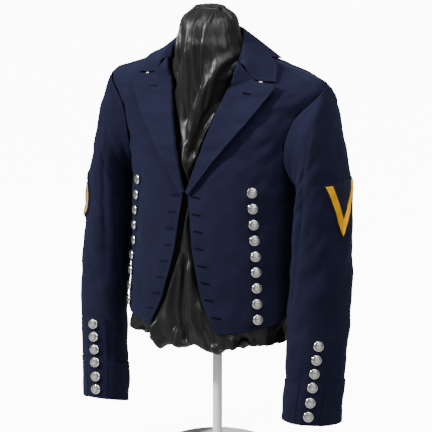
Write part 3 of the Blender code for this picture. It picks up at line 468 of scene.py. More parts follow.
def front_at(x, z):
    """Angle and level of the front surface at a given width and height."""
    x, z = np.broadcast_arrays(np.asarray(x, float), np.asarray(z, float))
    angle = np.degrees(np.arctan2(x, FRONT_DEPTH))
    level = np.interp(z, [row[1] for row in BODY_SECTIONS], range(len(BODY_SECTIONS))) - 0.1
    small_angle = 0.2
    small_level = 0.01
    for _ in range(14):
        place = body_section(angle, level)
        by_angle = (body_section(angle + small_angle, level) - place) / small_angle
        by_level = (body_section(angle, level + small_level) - place) / small_level
        miss_x = x - place[..., 0]
        miss_z = z - place[..., 2]
        area = by_angle[..., 0] * by_level[..., 2] - by_level[..., 0] * by_angle[..., 2]
        angle = angle + (miss_x * by_level[..., 2] - miss_z * by_level[..., 0]) / area
        level = level + (miss_z * by_angle[..., 0] - miss_x * by_angle[..., 2]) / area
        angle = np.clip(angle, 0.0, 89.0)
        level = np.clip(level, 0.0, NECK_LEVEL - 2 * small_level)
    return angle, level


def front_edge_angle(level):
    """Angle at which each level meets the front edge or the roll line."""
    low = np.zeros_like(level)
    high = np.full_like(level, 89.0)
    for _ in range(30):
        middle = (low + high) / 2
        place = body_section(middle, level)
        inside = place[..., 0] < by_steps(FRONT_EDGE, place[..., 2])
        low = np.where(inside, middle, low)
        high = np.where(inside, high, middle)
    return (low + high) / 2


def hem_level(angle):
    first, second = BODY_SECTIONS[0], BODY_SECTIONS[1]
    return (by_steps(HEM_BY_ANGLE, angle) - first[1]) / (second[1] - first[1])


def armhole(phi):
    """Angle and level of the armhole: phi 0 is the shoulder tip, 90 the front, 180 below."""
    middle = (TIP_LEVEL + UNDERARM_LEVEL) / 2
    half = (TIP_LEVEL - UNDERARM_LEVEL) / 2
    swing = np.sin(np.radians(phi))
    reach = np.where(swing > 0, ARMHOLE_FRONT_REACH, ARMHOLE_BACK_REACH)
    return 90 - reach * swing, middle + half * np.cos(np.radians(phi))


def armhole_angle(level, reach):
    """How far round the armhole reaches at a level, in degrees from the side."""
    middle = (TIP_LEVEL + UNDERARM_LEVEL) / 2
    half = (TIP_LEVEL - UNDERARM_LEVEL) / 2
    share = np.clip((level - middle) / half, -1, 1)
    return reach * np.sqrt(1 - share ** 2)


def plain_sleeve(side, phi, station):
    """Point of the plain sleeve: phi 0 is the outer line, 90 the front, 180 the body side."""
    row = smooth_rows(SLEEVE_SECTIONS, station)
    outer_x, outer_z, inner_x, inner_z, middle_y, front, back, turn = np.moveaxis(row, -1, 0)
    out = np.cos(np.radians(phi))
    ahead = np.sin(np.radians(phi))
    x = (outer_x - inner_x) / 2 * out
    y = -np.where(ahead > 0, front, back) * ahead
    turn = np.radians(turn)
    elbow, wrist, forward, drop, tilt = HANG[side]
    share = ease(station / CUFF_STATION)
    bow = np.sin(np.pi * np.clip(station / CUFF_STATION, 0, 1) ** 2) ** 2
    ahead_y = -x * np.sin(turn) + y * np.cos(turn)
    z = (outer_z + inner_z) / 2 + (outer_z - inner_z) / 2 * out
    return np.stack([(outer_x + inner_x) / 2 + x * np.cos(turn) + y * np.sin(turn)
                     + bow * elbow + share * wrist,
                     middle_y + ahead_y - forward * share,
                     z - drop * share - tilt * ahead_y * ease((station - 5) / 4)], -1)


def sleeve_section(side, phi, station):
    """The plain sleeve, drawn at its head onto the torso round the armhole."""
    phi, station = np.broadcast_arrays(np.asarray(phi, float), np.asarray(station, float))
    place = plain_sleeve(side, phi, station)
    angle, level = armhole(phi)
    lap_angle = -ARMHOLE_LAP / TORSO_METRIC[0] * np.sin(np.radians(phi))
    lap_level = ARMHOLE_LAP / TORSO_METRIC[1] * SHOULDER_LAP_SHARE * np.cos(np.radians(phi))
    upper = WALL + LAP_GAP + SHOULDER_LAP_LIFT
    lower = WALL / 2 + LAP_GAP
    share = ease((1 - np.cos(np.radians(phi))) / 2 * 2 - 1)
    lift = upper + (lower - upper) * share
    head = body_section(angle + lap_angle, level + lap_level)
    head = head + body_normal(angle + lap_angle, level + lap_level) * lift[..., None]
    fade = np.clip(1 - station / 2, 0, 1) ** 2
    return place + (head - plain_sleeve(side, phi, np.zeros_like(station))) * fade[..., None]


def sleeve_normal(side, phi, station):
    place = sleeve_section(side, phi, station)
    around = np.stack([sleeve_section(side, p, station) for p in (0.0, 90.0, 180.0, 270.0)])
    outward = place - around.mean(0)

    def surface(u, v):
        return sleeve_section(side, u, v)

    station = np.clip(station, 0.03, CUFF_STATION - 0.03)
    return surface_normal(surface, phi, station, 0.5, 0.02, outward)


def sleeve_point(side, phi, station, lift=0.0):
    """Point on the sleeve with its folds and the small puckers of the armhole seam."""
    phi, station = np.broadcast_arrays(np.asarray(phi, float), np.asarray(station, float))
    depth = fold_depth(SLEEVE_FOLDS, side, SLEEVE_METRIC, phi % 360, station)
    wave = np.sin(np.radians(phi) * PUCKERS + 1.5 * np.sin(3 * np.radians(phi)))
    pucker = PUCKER_DEPTH * wave * ease(station / 0.12) * ease(1 - station / 0.9)
    offset = lift - depth * ease(station / 0.4) + pucker
    normal = sleeve_normal(side, phi, station)
    return sleeve_section(side, phi, station) + normal * offset[..., None]


def phi_at(side, arc, reference):
    """Phi at a distance round the cloth, ahead of the outer line, on one ring."""
    angles = np.linspace(-170, 190, 181)
    ring = sleeve_section(side, angles, np.full_like(angles, reference))
    steps = np.linalg.norm(np.diff(ring, axis=0), axis=1)
    length = np.concatenate([[0.0], np.cumsum(steps)])
    length -= np.interp(0.0, angles, length)
    return np.interp(arc, length, angles)


def station_at(side, phi, z):
    """Station of a height on the line of a given phi."""
    station = np.full_like(phi, 6.0)
    small = 0.01
    for _ in range(10):
        height = sleeve_section(side, phi, station)[..., 2]
        lower = sleeve_section(side, phi, station + small)[..., 2]
        station = station + (z - height) * small / (lower - height)
        station = np.clip(station, 2.0, CUFF_STATION - 0.02)
    return station


def flip(side, points):
    """Left-hand points as they are, right-hand points with x turned round."""
    return points * np.array([1.0 if side == "left" else -1.0, 1.0, 1.0])


def socket_or_number(tree, value, socket):
    """Feeds a node's socket from another socket, or sets it to a number."""
    if isinstance(value, bpy.types.NodeSocket):
        tree.links.new(value, socket)
    else:
        socket.default_value = value


def sum_of(tree, operation, *values):
    """A Math node of the given operation."""
    node = tree.nodes.new("ShaderNodeMath")
    node.operation = operation
    for value, socket in zip(values, node.inputs):
        socket_or_number(tree, value, socket)
    return node.outputs[0]


def cloth_place(tree):
    """Across, along and stitched-edge distance on the cloth, in metres."""
    reader = tree.nodes.new("ShaderNodeAttribute")
    reader.attribute_name = "cloth"
    split = tree.nodes.new("ShaderNodeSeparateXYZ")
    tree.links.new(reader.outputs["Vector"], split.inputs[0])
    return reader.outputs["Vector"], split.outputs


def grain(tree, place, scale, detail=2.0, roughness=0.5):
    """Noise from 0 to 1 at a place, with `scale` grains to the metre."""
    node = tree.nodes.new("ShaderNodeTexNoise")
    socket_or_number(tree, scale, node.inputs["Scale"])
    node.inputs["Detail"].default_value = detail
    node.inputs["Roughness"].default_value = roughness
    tree.links.new(place, node.inputs["Vector"])
    return node.outputs["Fac"]


def start_effect(name, inputs, outputs):
    """An empty effect group with its named sockets."""
    tree = bpy.data.node_groups.new(name, "ShaderNodeTree")
    for label, kind, value in inputs:
        socket = tree.interface.new_socket(name=label, in_out="INPUT", socket_type=kind)
        socket.default_value = value
    for label, kind in outputs:
        tree.interface.new_socket(name=label, in_out="OUTPUT", socket_type=kind)
    return tree, tree.nodes.new("NodeGroupInput").outputs, tree.nodes.new("NodeGroupOutput").inputs


def make_twill_weave():
    """Slanting ribs of a twill under a short nap."""
    tree, given, result = start_effect(
        "Twill Weave",
        (("Pitch", "NodeSocketFloat", 0.0009), ("Nap", "NodeSocketFloat", 0.5)),
        (("Height", "NodeSocketFloat"), ("Shade", "NodeSocketFloat")))
    place, (across, along, _) = cloth_place(tree)
    slant = sum_of(tree, "ADD", across, sum_of(tree, "MULTIPLY", along, 1.6))
    turns = sum_of(tree, "DIVIDE", slant, given["Pitch"])
    rib = sum_of(tree, "SINE", sum_of(tree, "MULTIPLY", turns, 2 * math.pi))
    rib = sum_of(tree, "MULTIPLY_ADD", rib, 0.25, 0.5)
    nap = sum_of(tree, "MULTIPLY", grain(tree, place, 1700.0, 3.0, 0.7), given["Nap"])
    tree.links.new(sum_of(tree, "ADD", rib, nap), result["Height"])
    tuft = grain(tree, place, 420.0, 3.0, 0.6)
    tree.links.new(sum_of(tree, "MULTIPLY_ADD", tuft, 0.5, sum_of(tree, "MULTIPLY", rib, 0.5)),
                   result["Shade"])
    return tree


def make_uneven_dye():
    """Slow change of a cloth's colour from place to place."""
    tree, given, result = start_effect(
        "Uneven Dye",
        (("Color", "NodeSocketColor", (0.5, 0.5, 0.5, 1.0)), ("Amount", "NodeSocketFloat", 0.2),
         ("Patches", "NodeSocketFloat", 20.0), ("Shade", "NodeSocketFloat", 0.5)),
        (("Color", "NodeSocketColor"),))
    place = tree.nodes.new("ShaderNodeTexCoord").outputs["Object"]
    patch = grain(tree, place, given["Patches"], 4.0, 0.6)
    mixed = sum_of(tree, "ADD", patch, given["Shade"])
    centred = sum_of(tree, "SUBTRACT", mixed, 1.0)
    factor = sum_of(tree, "MULTIPLY_ADD", centred, given["Amount"], 1.0)
    scaled = tree.nodes.new("ShaderNodeVectorMath")
    scaled.operation = "SCALE"
    tree.links.new(given["Color"], scaled.inputs[0])
    tree.links.new(factor, scaled.inputs["Scale"])
    tree.links.new(scaled.outputs[0], result["Color"])
    return tree


def make_stitch_row():
    """A row of stitches that runs at a set distance inside a stitched edge."""
    tree, given, result = start_effect(
        "Stitch Row",
        (("Inset", "NodeSocketFloat", STITCH_INSET), ("Stitch", "NodeSocketFloat", 0.0026)),
        (("Thread", "NodeSocketFloat"),))
    _, (across, along, inset) = cloth_place(tree)
    off = sum_of(tree, "DIVIDE", sum_of(tree, "SUBTRACT", inset, given["Inset"]), 0.00035)
    line = sum_of(tree, "EXPONENT", sum_of(tree, "MULTIPLY", sum_of(tree, "POWER", off, 2.0), -1.0))
    turns = sum_of(tree, "DIVIDE", sum_of(tree, "ADD", across, along), given["Stitch"])
    beat = sum_of(tree, "SINE", sum_of(tree, "MULTIPLY", turns, 2 * math.pi))
    gap = sum_of(tree, "SMOOTH_MIN", sum_of(tree, "MULTIPLY_ADD", beat, 1.5, 1.0), 1.0, 0.2)
    tree.links.new(sum_of(tree, "MULTIPLY", line, sum_of(tree, "MAXIMUM", gap, 0.0)),
                   result["Thread"])
    return tree


def make_wound_thread():
    """Close-wound threads of braid, embroidery and buttonhole stitches."""
    tree, given, result = start_effect(
        "Wound Thread",
        (("Pitch", "NodeSocketFloat", 0.0008), ("Slant", "NodeSocketFloat", 0.4)),
        (("Height", "NodeSocketFloat"), ("Shade", "NodeSocketFloat")))
    place, (across, along, _) = cloth_place(tree)
    turned = sum_of(tree, "MULTIPLY_ADD", across, given["Slant"], along)
    turns = sum_of(tree, "DIVIDE", turned, given["Pitch"])
    wave = sum_of(tree, "SINE", sum_of(tree, "MULTIPLY", turns, math.pi))
    strand = sum_of(tree, "ABSOLUTE", wave)
    tree.links.new(strand, result["Height"])
    wear = grain(tree, place, 260.0, 3.0, 0.6)
    tree.links.new(sum_of(tree, "ADD", sum_of(tree, "MULTIPLY", strand, 0.5),
                          sum_of(tree, "MULTIPLY", wear, 0.5)), result["Shade"])
    return tree


TWILL_WEAVE = make_twill_weave()
UNEVEN_DYE = make_uneven_dye()
STITCH_ROW = make_stitch_row()
WOUND_THREAD = make_wound_thread()


def place_effect(tree, effect, **values):
    """An effect group placed in a material, with that material's own values."""
    node = tree.nodes.new("ShaderNodeGroup")
    node.node_tree = effect
    for label, value in values.items():
        socket_or_number(tree, value, node.inputs[label.replace("_", " ")])
    return node.outputs


def start_material(name, **settings):
    """A material and its shader, with the numbers that are the same all over."""
    material = bpy.data.materials.new(name)
    material.use_nodes = True
    shader = material.node_tree.nodes["Principled BSDF"]
    for label, value in settings.items():
        shader.inputs[label.replace("_", " ")].default_value = value
    return material, material.node_tree, shader.inputs


def raise_surface(tree, height, distance, before=None):
    """Bump of a height from 0 to 1 that stands `distance` metres high."""
    node = tree.nodes.new("ShaderNodeBump")
    node.inputs["Distance"].default_value = distance
    tree.links.new(height, node.inputs["Height"])
    if before is not None:
        tree.links.new(before, node.inputs["Normal"])
    return node.outputs[0]


def mix_colours(tree, share, first, second):
    node = tree.nodes.new("ShaderNodeMix")
    node.data_type = "RGBA"
    socket_or_number(tree, share, node.inputs["Factor"])
    socket_or_number(tree, first, node.inputs["A"])
    socket_or_number(tree, second, node.inputs["B"])
    return node.outputs["Result"]


def make_wool(name, colour, thread, pitch, nap, sheen):
    """Dress wool: a fine twill with a short nap, its edges stitched."""
    material, tree, shader = start_material(
        name, Sheen_Weight=sheen, Sheen_Roughness=0.45, Sheen_Tint=(0.45, 0.55, 1.0, 1.0),
        Specular_IOR_Level=0.08)
    weave = place_effect(tree, TWILL_WEAVE, Pitch=pitch, Nap=nap)
    dyed = place_effect(tree, UNEVEN_DYE, Color=colour, Amount=0.9, Patches=16.0,
                        Shade=weave["Shade"])
    stitches = place_effect(tree, STITCH_ROW, Inset=STITCH_INSET, Stitch=0.0026)
    tree.links.new(mix_colours(tree, stitches["Thread"], dyed["Color"], thread),
                   shader["Base Color"])
    tree.links.new(sum_of(tree, "MULTIPLY_ADD", weave["Shade"], 0.16, 0.76), shader["Roughness"])
    nap_normal = raise_surface(tree, weave["Height"], 0.00016)
    tree.links.new(raise_surface(tree, stitches["Thread"], 0.00025, nap_normal), shader["Normal"])
    return material


def make_satin(name, colour, roughness):
    """Black satin: smooth, glossy floats with soft rumples and a fine cross rib."""
    material, tree, shader = start_material(name, Sheen_Weight=0.05, Sheen_Roughness=0.35,
                                            Specular_IOR_Level=0.26)
    place, (_, along, _) = cloth_place(tree)
    dyed = place_effect(tree, UNEVEN_DYE, Color=colour, Amount=0.35, Patches=30.0, Shade=0.5)
    tree.links.new(dyed["Color"], shader["Base Color"])
    stretch = tree.nodes.new("ShaderNodeVectorMath")
    stretch.operation = "MULTIPLY"
    stretch.inputs[1].default_value = (1.0, 0.34, 1.0)
    tree.links.new(place, stretch.inputs[0])
    rumple = grain(tree, stretch.outputs[0], 34.0, 3.0, 0.5)
    tree.links.new(sum_of(tree, "MULTIPLY_ADD", rumple, 0.16, roughness - 0.08),
                   shader["Roughness"])
    ribs = sum_of(tree, "SINE", sum_of(tree, "MULTIPLY", along, 2 * math.pi / 0.0007))
    soft = raise_surface(tree, rumple, 0.0034)
    tree.links.new(raise_surface(tree, ribs, 0.00001, soft), shader["Normal"])
    return material


def make_lining(name, colour):
    """Body lining: a plain dark twill silk."""
    material, tree, shader = start_material(name, Specular_IOR_Level=0.5)
    weave = place_effect(tree, TWILL_WEAVE, Pitch=0.0006, Nap=0.1)
    dyed = place_effect(tree, UNEVEN_DYE, Color=colour, Amount=0.3, Patches=24.0,
                        Shade=weave["Shade"])
    tree.links.new(dyed["Color"], shader["Base Color"])
    tree.links.new(sum_of(tree, "MULTIPLY_ADD", weave["Shade"], 0.2, 0.38), shader["Roughness"])
    tree.links.new(raise_surface(tree, weave["Height"], 0.00008), shader["Normal"])
    return material


def make_thread(name, colour, pitch, slant, roughness, height, gloss=0.3):
    """Silk or gilt thread wound close over the cloth."""
    material, tree, shader = start_material(name, Specular_IOR_Level=gloss)
    wound = place_effect(tree, WOUND_THREAD, Pitch=pitch, Slant=slant)
    dyed = place_effect(tree, UNEVEN_DYE, Color=colour, Amount=0.7, Patches=60.0,
                        Shade=wound["Shade"])
    tree.links.new(dyed["Color"], shader["Base Color"])
    tree.links.new(sum_of(tree, "MULTIPLY_ADD", wound["Shade"], 0.2, roughness - 0.1),
                   shader["Roughness"])
    tree.links.new(raise_surface(tree, wound["Height"], height), shader["Normal"])
    return material


def make_nickel(name, bright, sunk):
    """Plated button metal: bright on the high places, darkened in the relief."""
    material, tree, shader = start_material(name, Metallic=1.0, Anisotropic=0.1)
    reader = tree.nodes.new("ShaderNodeAttribute")
    reader.attribute_name = "relief"
    place = tree.nodes.new("ShaderNodeTexCoord").outputs["Object"]
    tarnish = grain(tree, place, 420.0, 4.0, 0.6)
    low = sum_of(tree, "MULTIPLY", reader.outputs["Fac"],
                 sum_of(tree, "MULTIPLY_ADD", tarnish, 0.6, 0.95))
    tree.links.new(mix_colours(tree, sum_of(tree, "MINIMUM", low, 1.0), bright, sunk),
                   shader["Base Color"])
    scuff = sum_of(tree, "MULTIPLY_ADD", tarnish, 0.14, 0.14)
    tree.links.new(sum_of(tree, "ADD", scuff, sum_of(tree, "MULTIPLY", low, 0.25)),
                   shader["Roughness"])
    tree.links.new(raise_surface(tree, tarnish, 0.00004), shader["Normal"])
    return material


def make_stand_paint(name, colour):
    """White powder paint of the pole and base."""
    material, tree, shader = start_material(name, Specular_IOR_Level=0.45)
    place = tree.nodes.new("ShaderNodeTexCoord").outputs["Object"]
    orange_peel = grain(tree, place, 520.0, 3.0, 0.5)
    dust = grain(tree, place, 14.0, 5.0, 0.6)
    tree.links.new(mix_colours(tree, sum_of(tree, "MULTIPLY", dust, 0.12), colour,
                               (0.62, 0.61, 0.58, 1.0)), shader["Base Color"])
    tree.links.new(sum_of(tree, "MULTIPLY_ADD", dust, 0.15, 0.32), shader["Roughness"])
    tree.links.new(raise_surface(tree, orange_peel, 0.00006), shader["Normal"])
    return material


WOOL_NAVY = make_wool("wool_navy", (0.0058, 0.0064, 0.0190, 1.0), (0.012, 0.014, 0.040, 1.0),
                      0.0009, 0.6, 0.05)
WOOL_BACKING = make_wool("wool_backing", (0.0075, 0.0085, 0.018, 1.0), (0.012, 0.013, 0.026, 1.0),
                         0.0007, 0.9, 0.06)
LINING_BLACK = make_lining("lining_black", (0.006, 0.006, 0.008, 1.0))
SATIN_BLACK = make_satin("satin_black", (0.0050, 0.0049, 0.0053, 1.0), 0.40)
HOLE_THREAD = make_thread("hole_thread", (0.0012, 0.0013, 0.0040, 1.0), 0.0009, 0.0, 0.65,
                          0.0003, 0.06)
WORN_THREAD = make_thread("worn_thread", (0.0045, 0.0050, 0.0150, 1.0), 0.0009, 0.0, 0.8,
                          0.0002, 0.04)
# Near-black sheet laid in each buttonhole slit of the left front: painted shade for the dark inside
# of the slit, drawn with the thread's weave
SLIT_SHADOW = make_thread("slit_shadow", (0.0012, 0.0012, 0.002, 1.0), 0.0009, 0.0, 0.8,
                          0.0002, 0.04)
TACK_THREAD = make_thread("tack_thread", (0.62, 0.62, 0.60, 1.0), 0.0007, 0.2, 0.6, 0.0003)
BRAID_GOLD = make_thread("braid_gold", (1.0, 0.49, 0.002, 1.0), 0.0011, 0.55, 0.62, 0.0004, 0.1)
GILT_THREAD = make_thread("gilt_thread", (0.50, 0.34, 0.16, 1.0), 0.0008, 0.9, 0.42, 0.0004)
BUTTON_NICKEL = make_nickel("button_nickel", (0.88, 0.87, 0.84, 1.0), (0.020, 0.019, 0.018, 1.0))
STAND_WHITE = make_stand_paint("stand_white", (0.80, 0.80, 0.78, 1.0))


def dress_piece(name, points, faces, materials, cloth=None, which=None, nodes=()):
    """A piece of the scene from its points and faces, riding on the part."""
    mesh = bpy.data.meshes.new(name)
    mesh.from_pydata(np.asarray(points).tolist(), [], np.asarray(faces).tolist())
    for material in materials:
        mesh.materials.append(material)
    if which is not None:
        mesh.polygons.foreach_set("material_index", np.asarray(which, np.int32))
    if cloth is not None:
        layer = mesh.attributes.new("cloth", "FLOAT_VECTOR", "POINT")
        layer.data.foreach_set("vector", np.asarray(cloth, np.float32).ravel())
    mesh.shade_smooth()
    item = bpy.data.objects.new(name, mesh)
    item.location.z = RISE
    bpy.context.collection.objects.link(item)
    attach(item, "root")
    if nodes:
        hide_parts(*nodes)
    return item


def lengths_along(points, axis):
    """Distance from the first row or column, along the cloth."""
    steps = np.linalg.norm(np.diff(points, axis=axis), axis=-1)
    start = np.zeros_like(np.take(steps, [0], axis=axis))
    return np.concatenate([start, np.cumsum(steps, axis=axis)], axis=axis)


def grid_faces(rows, columns, closed, turned):
    """Four-sided faces of a grid of points."""
    row, column = np.meshgrid(np.arange(rows - 1), np.arange(columns if closed else columns - 1),
                              indexing="ij")
    after = (column + 1) % columns
    corners = [row * columns + column, row * columns + after,
               (row + 1) * columns + after, (row + 1) * columns + column]
    faces = np.stack(corners, -1).reshape(-1, 4)
    return faces[:, ::-1] if turned else faces


def rim_faces(rows, columns, closed, turned):
    """Faces that join the outer and the inner layer of a wall round its edges."""
    count = rows * columns
    loops = []
    first_row = np.arange(columns)
    last_row = first_row + (rows - 1) * columns
    if closed:
        loops += [np.append(first_row, first_row[0]), np.append(last_row, last_row[0])[::-1]]
    else:
        side = np.arange(rows) * columns
        ring = np.concatenate([first_row, side[1:] + columns - 1, last_row[::-1][1:],
                               side[::-1][1:]])
        loops.append(ring)
    faces = np.concatenate([np.stack([loop[:-1], loop[:-1] + count, loop[1:] + count, loop[1:]], -1)
                            for loop in loops])
    return faces[:, ::-1] if turned else faces


def wall(name, middle, outward, thickness, materials, stitched, closed=False, relief=0.0,
         slot="wool_navy", nodes=None):
    """Cloth of real thickness with soft edges, round a grid of points at its middle.

    `stitched` names the edges with a row of stitches: first column, last column, first row
    and last row.
    """
    rows, columns = middle.shape[:2]
    if closed:
        across = np.roll(middle, -1, 1) - np.roll(middle, 1, 1)
    else:
        across = np.gradient(middle, axis=1)
    normal = unit(np.cross(across, np.gradient(middle, axis=0)))
    turned = np.sum(normal * outward) < 0
    normal = -normal if turned else normal
    from_side = lengths_along(middle, 1)
    from_end = lengths_along(middle, 0)
    edges = [from_end, from_end[-1:] - from_end]
    if closed:
        far = np.full_like(from_side, NO_STITCH)
        edges = [far, far] + edges
    else:
        edges = [from_side, from_side[:, -1:] - from_side] + edges
    inset = np.min(edges, axis=0)
    chosen = [edge for edge, sewn in zip(edges, stitched) if sewn]
    row_inset = np.min(chosen, axis=0) if chosen else np.full_like(inset, NO_STITCH)
    rounding = 1 - np.minimum(inset / (EDGE_ROUND * thickness), 1)
    half = thickness / 2 * (EDGE_THIN + (1 - EDGE_THIN) * np.sqrt(1 - rounding ** 2))
    sink = STITCH_SINK * np.exp(-((row_inset - STITCH_INSET) / STITCH_SPREAD) ** 2)
    outer = middle + normal * (half - sink + relief)[..., None]
    inner = middle - normal * half[..., None]
    cloth = np.stack([from_side, from_end, row_inset], -1).reshape(-1, 3)
    plain = cloth.copy()
    plain[:, 2] = NO_STITCH
    faces = grid_faces(rows, columns, closed, turned)
    back = grid_faces(rows, columns, closed, not turned) + rows * columns
    rim = rim_faces(rows, columns, closed, turned)
    which = np.concatenate([np.zeros(len(faces)), np.full(len(back), len(materials) - 1),
                            np.zeros(len(rim))])
    piece = dress_piece(name, np.concatenate([outer.reshape(-1, 3), inner.reshape(-1, 3)]),
                        np.concatenate([faces, back, rim]), materials,
                        np.concatenate([cloth, plain]), which, nodes or [name])
    return piece


def edge_shares(lengths, count, gap=0.0):
    """Shares of the way across each row, close together near both edges."""
    steps = np.array(EDGE_STEPS) + gap
    near = steps / np.maximum(lengths, 4 * steps[-1])[..., None]
    inner = near[..., -1:]
    middle = np.linspace(0, 1, count)[1:-1]
    return np.concatenate([near, inner + (1 - 2 * inner) * middle, 1 - near[..., ::-1]], -1)


def torso_rows():
    """Rows of the torso panels from the hem up, close together at the hem and the armhole."""
    hem = np.array(EDGE_STEPS) * UNDERARM_LEVEL / 0.24
    side = np.linspace(hem[-1], UNDERARM_LEVEL, 46)
    turn = np.linspace(0, np.pi, 46)
    arm = (TIP_LEVEL + UNDERARM_LEVEL) / 2 - (TIP_LEVEL - UNDERARM_LEVEL) / 2 * np.cos(turn)
    neck = np.linspace(TIP_LEVEL, NECK_LEVEL - 0.02, 20)
    return np.concatenate([hem, side[1:], arm[1:], neck[1:]])


def side_level(row, angle):
    """Level of a row that runs between the hem and the underarm."""
    hem = hem_level(angle)
    return hem + (UNDERARM_LEVEL - hem) * row / UNDERARM_LEVEL


def torso_panel(side, name, rows, first, last, count, stitched):
    """A panel of the torso between two seams, given as angles at each row."""
    rows = rows[:, None]

    def place(share):
        angle = first[:, None] + (last - first)[:, None] * share
        return angle, np.where(rows <= UNDERARM_LEVEL, side_level(rows, angle), rows)

    coarse = body_point(side, *place(np.linspace(0, 1, 25)[None, :]))
    angle, level = place(edge_shares(lengths_along(coarse, 1)[:, -1], count, SEAM_HALF_GAP))
    return wall(name + "_" + side, flip(side, body_point(side, angle, level)),
                flip(side, body_normal(angle, level)), WALL, (WOOL_NAVY, LINING_BLACK), stitched)


def make_front(side):
    rows = torso_rows()
    edge = front_edge_angle(rows)
    for _ in range(8):
        edge = np.where(rows <= UNDERARM_LEVEL, front_edge_angle(side_level(rows, edge)), edge)
    blend = ease((rows - UNDERARM_LEVEL) / 0.4)
    outer = np.minimum(SHOULDER_SEAM - armhole_angle(rows, ARMHOLE_FRONT_REACH),
                       SIDE_SEAM + (SHOULDER_SEAM - SIDE_SEAM) * blend)
    outer = np.where(rows <= UNDERARM_LEVEL, SIDE_SEAM, outer)
    return torso_panel(side, "front", rows, edge, outer, 64, (True, False, True, False))


def back_armhole(rows):
    return SHOULDER_SEAM + armhole_angle(rows, ARMHOLE_BACK_REACH)


def make_side_body(side):
    rows = torso_rows()
    seam = by_steps(BACK_SEAM, rows)
    blend = ease((rows - UNDERARM_LEVEL) / 0.1)
    under = SIDE_SEAM + (SHOULDER_SEAM - SIDE_SEAM) * blend
    first = np.where(rows <= UNDERARM_LEVEL, SIDE_SEAM, under + back_armhole(rows) - SHOULDER_SEAM)
    kept = first < seam - SIDE_TOP_ROOM
    kept &= rows < BACK_SEAM[-1][0]
    return torso_panel(side, "side_body", rows[kept], first[kept], seam[kept], 34,
                       (False, False, True, False))


def make_back(side):
    rows = torso_rows()
    seam = by_steps(BACK_SEAM, np.minimum(rows, BACK_SEAM[-1][0]))
    edge = back_armhole(rows)
    first = np.where((rows < BACK_SEAM[-1][0]) & (edge < seam), seam, edge)
    return torso_panel(side, "back", rows, first, np.full_like(rows, 180.0), 56,
                       (False, False, True, False))


def sleeve_rows():
    head = np.array([0.0, 0.012, 0.03, 0.06, 0.10, 0.16, 0.24, 0.34, 0.46, 0.60, 0.76, 0.94,
                     1.14, 1.36, 1.60, 1.84])
    end = CUFF_STATION - np.array(EDGE_STEPS)[::-1] / 0.088
    return np.concatenate([head, np.linspace(2.08, end[0], 104)[:-1], end])


def make_sleeve(side, name, first, last, count):
    station = sleeve_rows()[:, None]
    coarse = sleeve_point(side, np.linspace(first, last, 25)[None, :], station)
    share = edge_shares(lengths_along(coarse, 1)[:, -1], count, SEAM_HALF_GAP)
    phi = first + (last - first) * share
    return wall(name + "_" + side, flip(side, sleeve_point(side, phi, station)),
                flip(side, sleeve_normal(side, phi, station)), WALL,
                (WOOL_NAVY, LINING_BLACK), (False, False, False, False))


def placket_arc(side, station):
    """Distance of the placket's middle line ahead of the sleeve's outer line."""
    top, end = PLACKET_ARC[side]
    return end + (top - end) * (CUFF_STATION - station) / (CUFF_STATION - PLACKET_STATION)


def make_placket(side):
    length = (CUFF_STATION - PLACKET_STATION) * 0.088
    down = edge_shares(np.array(length), 54)[:, None]
    across = edge_shares(np.array(2 * PLACKET_HALF_WIDTH), 22)[None, :]
    station, offset = np.broadcast_arrays(
        CUFF_STATION + (PLACKET_STATION - CUFF_STATION) * down,
        (2 * across - 1) * PLACKET_HALF_WIDTH)
    phi = phi_at(side, placket_arc(side, station) + offset, 8.0)
    return wall("cuff_placket_" + side, flip(side, sleeve_point(side, phi, station, PLACKET_LIFT)),
                flip(side, sleeve_normal(side, phi, station)), SKIN, (WOOL_NAVY,),
                (True, True, False, True))


def make_cuff(side):
    edge = PLACKET_HALF_WIDTH + 2 * LAP_GAP
    span = CUFF_STATION - CUFF_TOP_STATION
    station = CUFF_TOP_STATION + span * edge_shares(np.array(span * 0.088), 14)
    middle = placket_arc(side, station)
    near = phi_at(side, middle + edge, 8.0)
    far = phi_at(side, middle - edge, 8.0) + 360
    share = edge_shares(np.full_like(station, 0.30), 90)
    phi = near[:, None] + (far - near)[:, None] * share
    station = np.broadcast_to(station[:, None], phi.shape)
    return wall("cuff_" + side, flip(side, sleeve_point(side, phi, station, CUFF_LIFT)),
                flip(side, sleeve_normal(side, phi, station)), SKIN, (WOOL_NAVY,),
                (False, False, True, False))


def sleeve_patch(side, arc, z, lift):
    """Place and normal on the sleeve by distance round from the outer line and height."""
    phi = phi_at(side, arc, MARK_STATION)
    station = station_at(side, phi, z)
    return (flip(side, sleeve_point(side, phi, station, lift)),
            flip(side, sleeve_normal(side, phi, station)))


def make_chevron():
    height = CHEVRON_TOP_Z - CHEVRON_TIP_Z
    share = np.linspace(-1, 1, 121)[:, None]
    across = edge_shares(np.array(CHEVRON_THICK * 0.86), 34)[None, :]
    arc = share * CHEVRON_HALF_WIDTH * (1 - across * CHEVRON_THICK / height)
    z = CHEVRON_TIP_Z + across * CHEVRON_THICK + np.abs(share) * (height - across * CHEVRON_THICK)
    ribs = 0.00022 * np.cos(2 * np.pi * CHEVRON_RIBS * across) + 0 * share
    braid = wall("chevron", *sleeve_patch("left", arc, z, MARK_LIFT), SKIN, (BRAID_GOLD,),
                 (False,) * 4, relief=ribs, slot="braid_gold")
    rise = np.linspace(0, 1, 60)[:, None]
    half = 0.0015 + rise * (CHEVRON_HALF_WIDTH + CHEVRON_MARGIN)
    arc = half * (2 * edge_shares(np.array(0.09), 34) - 1)[None, :]
    z = CHEVRON_TIP_Z - 2 * CHEVRON_MARGIN + rise * (height + 3 * CHEVRON_MARGIN) + 0 * arc
    felt = wall("chevron_backing", *sleeve_patch("left", arc, z, SKIN_LIFT), SKIN,
                (WOOL_BACKING,), (False,) * 4)
    return braid, felt


